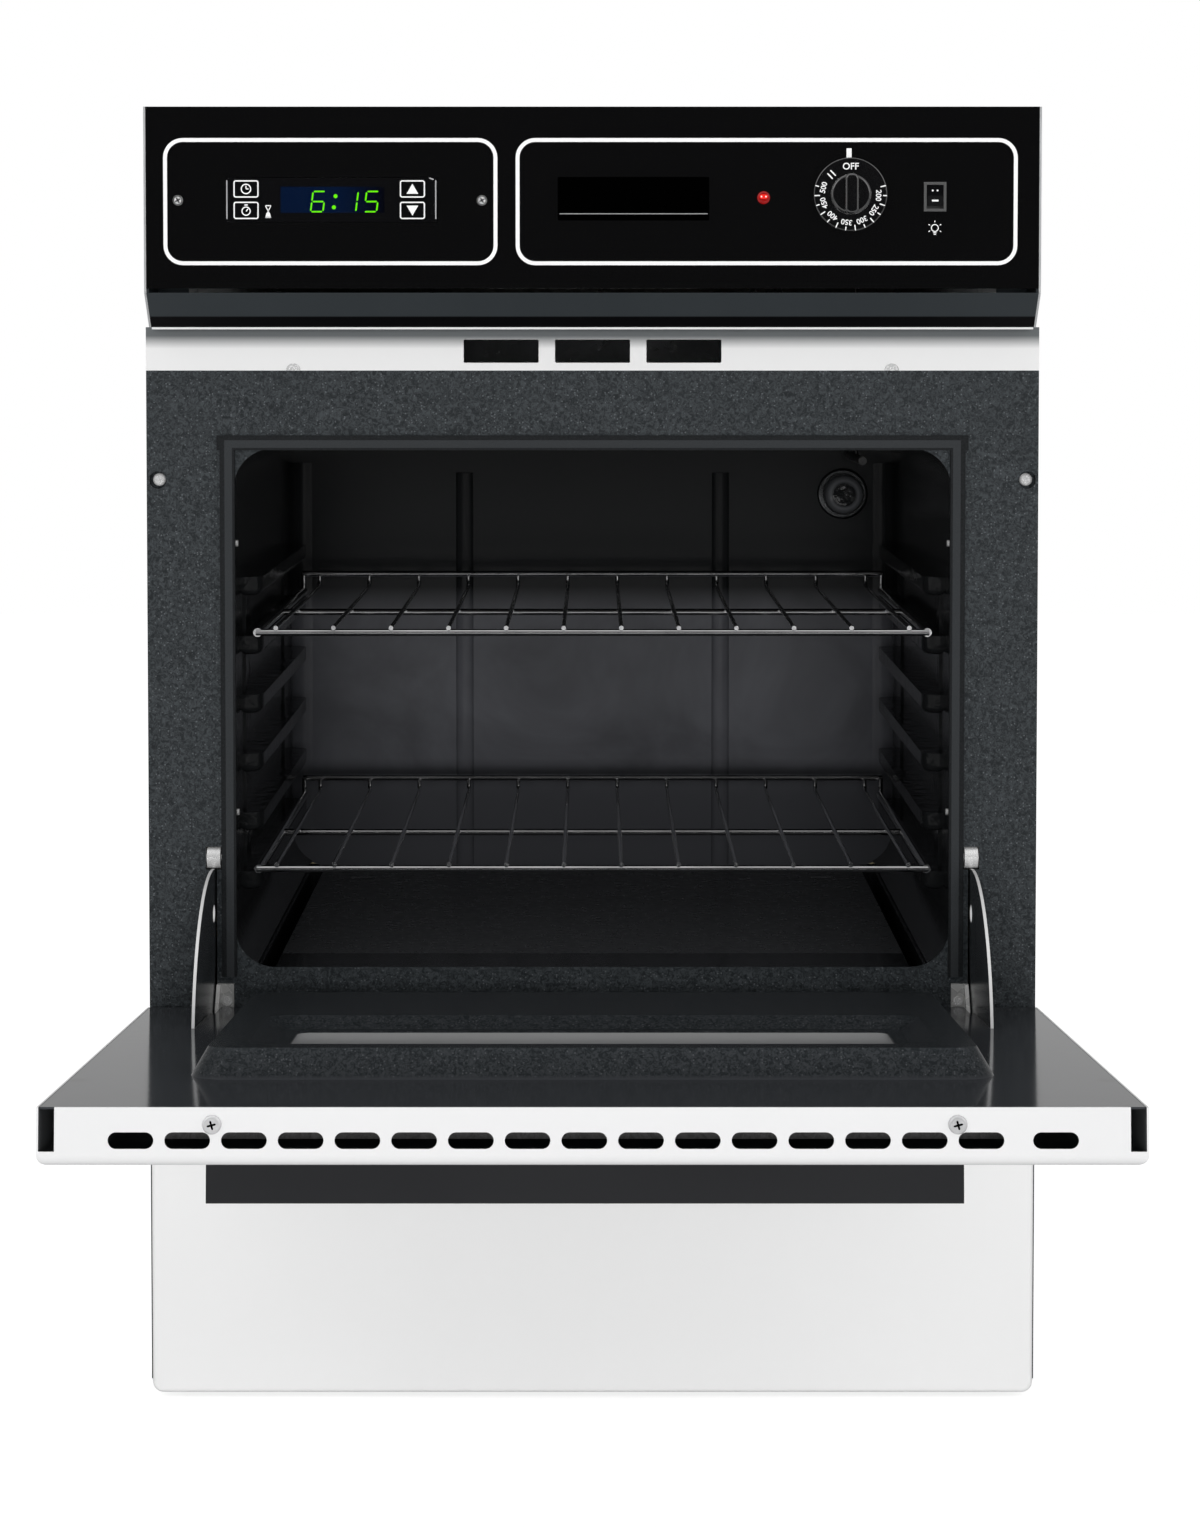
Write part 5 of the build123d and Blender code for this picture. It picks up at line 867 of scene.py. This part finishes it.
def piece(name, faces, look, body, y=PANEL_Y, thickness=PRINT_THICKNESS):
    """Flat plates of the same thickness, one for each outline, standing just in front of y."""
    mesh = bpy.data.meshes.new(name)
    work = bmesh.new()
    back = (y - PRINT_GAP) * MM
    front = back - thickness * MM
    for shape in faces:
        near = [work.verts.new((x * MM, front, z * MM)) for x, z in shape]
        far = [work.verts.new((x * MM, back, z * MM)) for x, z in shape]
        work.faces.new(near)
        work.faces.new(list(reversed(far)))
        for place in range(len(shape)):
            following = (place + 1) % len(shape)
            work.faces.new((near[following], near[place], far[place], far[following]))
    bmesh.ops.recalc_face_normals(work, faces=work.faces[:])
    work.to_mesh(mesh)
    work.free()
    mesh.materials.append(look)
    made = bpy.data.objects.new(name, mesh)
    bpy.context.scene.collection.objects.link(made)
    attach(made, body)


def text_piece(name, words, size, place, turn, look, body):
    """Plain lettering as a mesh, facing the front, turned about its own middle."""
    data = bpy.data.curves.new(name, "FONT")
    data.body = words
    data.size = size * MM
    data.align_x = "CENTER"
    data.align_y = "CENTER"
    data.extrude = LETTER_DEPTH * MM
    data.offset = LETTER_WEIGHT * MM
    made = bpy.data.objects.new(name, data)
    bpy.context.scene.collection.objects.link(made)
    bpy.context.view_layer.update()
    mesh = bpy.data.meshes.new_from_object(made)
    bpy.data.objects.remove(made)
    upright = Matrix.Rotation(math.pi / 2, 4, (1, 0, 0))
    turned = Matrix.Rotation(math.radians(turn), 4, (0, 1, 0))
    mesh.transform(Matrix.Translation([part * MM for part in place]) @ turned @ upright)
    mesh.materials.clear()
    mesh.materials.append(look)
    final = bpy.data.objects.new(name, mesh)
    bpy.context.scene.collection.objects.link(final)
    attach(final, body)


# Marks on the control panel
def panel_outlines():
    """The two white rounded frames printed on the glass."""
    faces = []
    for ends in PANEL_FRAMES:
        faces += outline(*ends, *PANEL_FRAME_HEIGHTS, PANEL_FRAME_RADIUS, PANEL_FRAME_LINE)
    piece("panel_outlines", faces, ink_white, "oven_body")


def digit(character, x):
    """A leaning seven-segment digit whose strokes don't touch."""
    width, height, half = DIGIT_WIDTH, DIGIT_HEIGHT, DIGIT_HEIGHT / 2
    gap = DIGIT_STROKE * STROKE_GAP
    ends = {"a": ((0, height), (width, height)), "g": ((0, half), (width, half)), "d": ((0, 0), (width, 0)),
            "f": ((0, half), (0, height)), "e": ((0, 0), (0, half)), "b": ((width, half), (width, height)),
            "c": ((width, 0), (width, half))}
    faces = []
    for name in SEGMENTS[character]:
        (x0, z0), (x1, z1) = ends[name]
        along = Vector((x1 - x0, z1 - z0)).normalized() * gap
        stroke = bar(x0 + along.x, z0 + along.y, x1 - along.x, z1 - along.y, DIGIT_STROKE)
        faces.append([(x + px + pz * DIGIT_SLANT, DIGIT_BASE + pz) for px, pz in stroke])
    return faces


def clock_face():
    """The time on the display."""
    faces = []
    for character, x in TIME:
        faces += digit(character, x)
    faces += [disc(x, z, COLON_RADIUS) for x, z in COLON]
    piece("clock_digits", faces, segment_green, "oven_body")


def clock_ends():
    """The thin lines at the clock's ends, one with a short corner stroke."""
    low, high = CLOCK_END_HEIGHTS
    lines = [bar(x, low, x, high, CLOCK_END_WIDTH) for x in CLOCK_ENDS]
    lines.append(bar(*CLOCK_CORNER, CLOCK_CORNER_WIDTH))
    piece("clock_end_lines", lines, ink_grey, "oven_body")


def hourglass():
    """The hourglass beside the display, with its lower half filled."""
    low, high = HOURGLASS_HEIGHTS
    x = HOURGLASS_X
    half, shoulder, neck = 2.0, 1.8, 0.6
    sand_foot, sand_top = 1.9, 1.1
    overlap = 0.2
    top = HOURGLASS_WAIST + overlap
    shapes = [bar(x - half, z, x + half, z, PICTURE_STROKE) for z in (high, low)]
    for side in (-1, 1):
        shapes.append(bar(x + side * shoulder, high - overlap, x - side * neck, HOURGLASS_WAIST, FINE_STROKE))
    shapes.append([(x - sand_foot, low), (x + sand_foot, low), (x + sand_top, top), (x - sand_top, top)])
    piece("hourglass_mark", shapes, ink_white, "oven_body")


def clock_picture(x, z):
    """A clock with two hands."""
    radius, minute_hand, hour_hand, tail = 3.5, 2.4, 1.9, 0.3
    minutes = bar(x, z - tail, x, z + minute_hand, PICTURE_STROKE)
    hours = bar(x - tail, z, x + hour_hand, z, PICTURE_STROKE)
    return circle_ring(x, z, radius, PICTURE_RING) + [minutes, hours]


def timer_picture(x, z):
    """A stopwatch: a smaller dial with one hand, under a crown."""
    radius, drop = 3.1, 0.5
    hand_foot, hand_tip = -0.8, (1.3, 1.2)
    crown_half, crown_rise, crown_stroke = 1.3, 3.6, 0.9
    hand = bar(x, z + hand_foot, x + hand_tip[0], z + hand_tip[1], PICTURE_STROKE)
    crown = bar(x - crown_half, z + crown_rise, x + crown_half, z + crown_rise, crown_stroke)
    return circle_ring(x, z - drop, radius, PICTURE_RING) + [hand, crown]


def arrow_picture(x, z, way=1):
    """A filled triangle that points up, or down where way is -1."""
    half, foot, tip = 3.9, 3.2, 3.5
    return [[(x - half, z - foot * way), (x + half, z - foot * way), (x, z + tip * way)]]


def down_picture(x, z):
    """A filled triangle that points down."""
    return arrow_picture(x, z, -1)


BUTTON_PICTURES = {"clock": clock_picture, "timer": timer_picture, "up": arrow_picture, "down": down_picture}


def button_faces():
    """A light outline and a plain pictogram on each push button."""
    for name, picture in BUTTON_PICTURES.items():
        button = name + "_button"
        low, high = reach(button)
        center = middle(button)
        sides = (low.x + BUTTON_INSET, high.x - BUTTON_INSET)
        heights = (low.z + BUTTON_INSET, high.z - BUTTON_INSET)
        faces = outline(*sides, *heights, BUTTON_CORNER, BUTTON_LINE)
        faces += picture(center.x, center.z)
        piece(name + "_key_mark", faces, ink_white, name + "_key", y=low.y)


def badge_place():
    """The bare plate in the middle of the panel, with its thin line."""
    piece("badge_plate", [rounded(*BADGE, BADGE_RADIUS, 2)], ink_and_shade_dark, "oven_body",
          thickness=BADGE_THICKNESS)
    piece("badge_line", [bar(*BADGE_LINE, BADGE_LINE_WIDTH)], ink_grey, "oven_body",
          y=PANEL_Y - PRINT_GAP - BADGE_THICKNESS)


def dial_word(words, size, angle):
    """A word on the dial's skirt, standing on a radius."""
    turn = math.radians(angle)
    x = DIAL_X + NUMBER_RADIUS * math.sin(turn)
    z = DIAL_Z + NUMBER_RADIUS * math.cos(turn)
    text_piece("dial_" + words, words, size, (x, SKIRT_Y - LETTER_LIFT, z), angle, ink_white, "dial")


def dial_marks():
    """The index on the glass, and the words and ticks on the dial's skirt."""
    piece("dial_index", [rounded(*DIAL_INDEX, DIAL_INDEX_RADIUS, 2)], ink_white, "oven_body")
    dial_word("OFF", OFF_SIZE, 0)
    for place, words in enumerate(DIAL_NUMBERS):
        dial_word(words, NUMBER_SIZE, NUMBER_START + NUMBER_STEP * place)
    ticks = []
    for angle in [TICK_START + TICK_STEP * place for place in range(TICKS)]:
        at_number = angle % NUMBER_STEP == NUMBER_START % NUMBER_STEP
        inner = TICK_INNER_AT_NUMBER if at_number else TICK_INNER
        ticks.append(spoke(DIAL_X, DIAL_Z, angle, inner, TICK_OUTER, TICK_WIDTH))
    for shift in (-BROIL_SHIFT, BROIL_SHIFT):
        ticks.append(spoke(DIAL_X + shift, DIAL_Z + shift, BROIL_ANGLE, *BROIL_REACH, BROIL_WIDTH))
    piece("dial_ticks", ticks, ink_white, "dial", y=SKIRT_Y)


def bulb_mark():
    """The bulb pictogram under the switch: a globe with rays over two lines."""
    radius, rise = 2.6, 0.6
    rays = (3.6, 5.0)
    lines = ((1.2, 2.6, PICTURE_STROKE), (0.9, 3.6, FINE_STROKE))
    x, z = SWITCH_X, BULB_MARK_Z
    shapes = circle_ring(x, z + rise, radius, FINE_STROKE)
    shapes += [bar(x - half, z - drop, x + half, z - drop, stroke) for half, drop, stroke in lines]
    shapes += [spoke(x, z + rise, angle, *rays, FINE_STROKE) for angle in BULB_RAYS]
    piece("bulb_mark", shapes, ink_white, "oven_body")


def rocker_marks():
    """Two dots at the rocker's top and a short bar at its foot."""
    x = SWITCH_X
    dots = [disc(x + side * ROCKER_DOT_SHIFT, ROCKER_DOT_Z, ROCKER_DOT_RADIUS, 10) for side in (-1, 1)]
    piece("rocker_dots", dots, ink_white, "rocker", y=ROCKER_DOT_Y)
    strip = rounded(x - ROCKER_BAR_HALF, x + ROCKER_BAR_HALF, *ROCKER_BAR_HEIGHTS, ROCKER_BAR_RADIUS, 2)
    piece("rocker_bar", [strip], ink_white, "rocker", y=ROCKER_BAR_Y)


def screw_recesses():
    """Cross recesses in the screws on the panel and in the door's top edge, drawn in dark ink as painted shade."""
    recesses = []
    for x in PANEL_SCREWS:
        recesses += cross(x, PANEL_SCREW_Z, *PANEL_CROSS)
        recesses += circle_ring(x, PANEL_SCREW_Z, *PANEL_SCREW_RING, 16)
    piece("panel_recesses", recesses, ink_and_shade_dark, "oven_body", y=PANEL_Y - PANEL_SCREW_HEAD)
    crosses = []
    for x in DOOR_SCREWS:
        crosses += cross(x, DOOR_SCREW_Z, *DOOR_CROSS)
    piece("door_recesses", crosses, ink_and_shade_dark, "oven_door",
          y=reach("door_screws")[0].y + DOOR_SCREW_SINK)


def signal_marks():
    """The signal lamp's lit core and two white discs on it that are painted highlights."""
    lens = "indicator_lamp"
    front = reach(lens)[0].y
    x, z = middle(lens).x, middle(lens).z + SIGNAL_RISE
    half_width, half_height = SIGNAL_CORE_HALF
    core = rounded(x - half_width, x + half_width, z - half_height, z + half_height, SIGNAL_CORE_RADIUS, 4)
    piece("lamp_core", [core], lamp_core, "oven_body", y=front)
    glint_discs = [disc(x + side * SIGNAL_GLINT_SHIFT, z, SIGNAL_GLINT_RADIUS, 8) for side in (-1, 1)]
    piece("lamp_glints", glint_discs, ink_white, "oven_body", y=front - SIGNAL_GLINT_LIFT)


def panel_lip():
    """The thin white lip under the control panel."""
    low, high = reach("control_housing")
    top = low.z - LIP_GAP
    bottom = top - LIP_HEIGHT
    left, right = low.x + LIP_INSET, high.x - LIP_INSET
    strip = [(left, bottom), (right, bottom), (right, top), (left, top)]
    slot = "white_enamel"
    piece("panel_lip", [strip], looks[slot], "oven_body", y=LIP_Y, thickness=LIP_DEPTH)


def main():
    """Builds the scene."""
    bpy.context.scene.view_settings.view_transform = "Standard"
    make_camera()
    make_world()
    make_stage()
    for light in LIGHTS:
        make_light(*light)
    dress_nodes()
    panel_outlines()
    clock_face()
    clock_ends()
    hourglass()
    button_faces()
    badge_place()
    dial_marks()
    bulb_mark()
    rocker_marks()
    screw_recesses()
    signal_marks()
    panel_lip()


main()
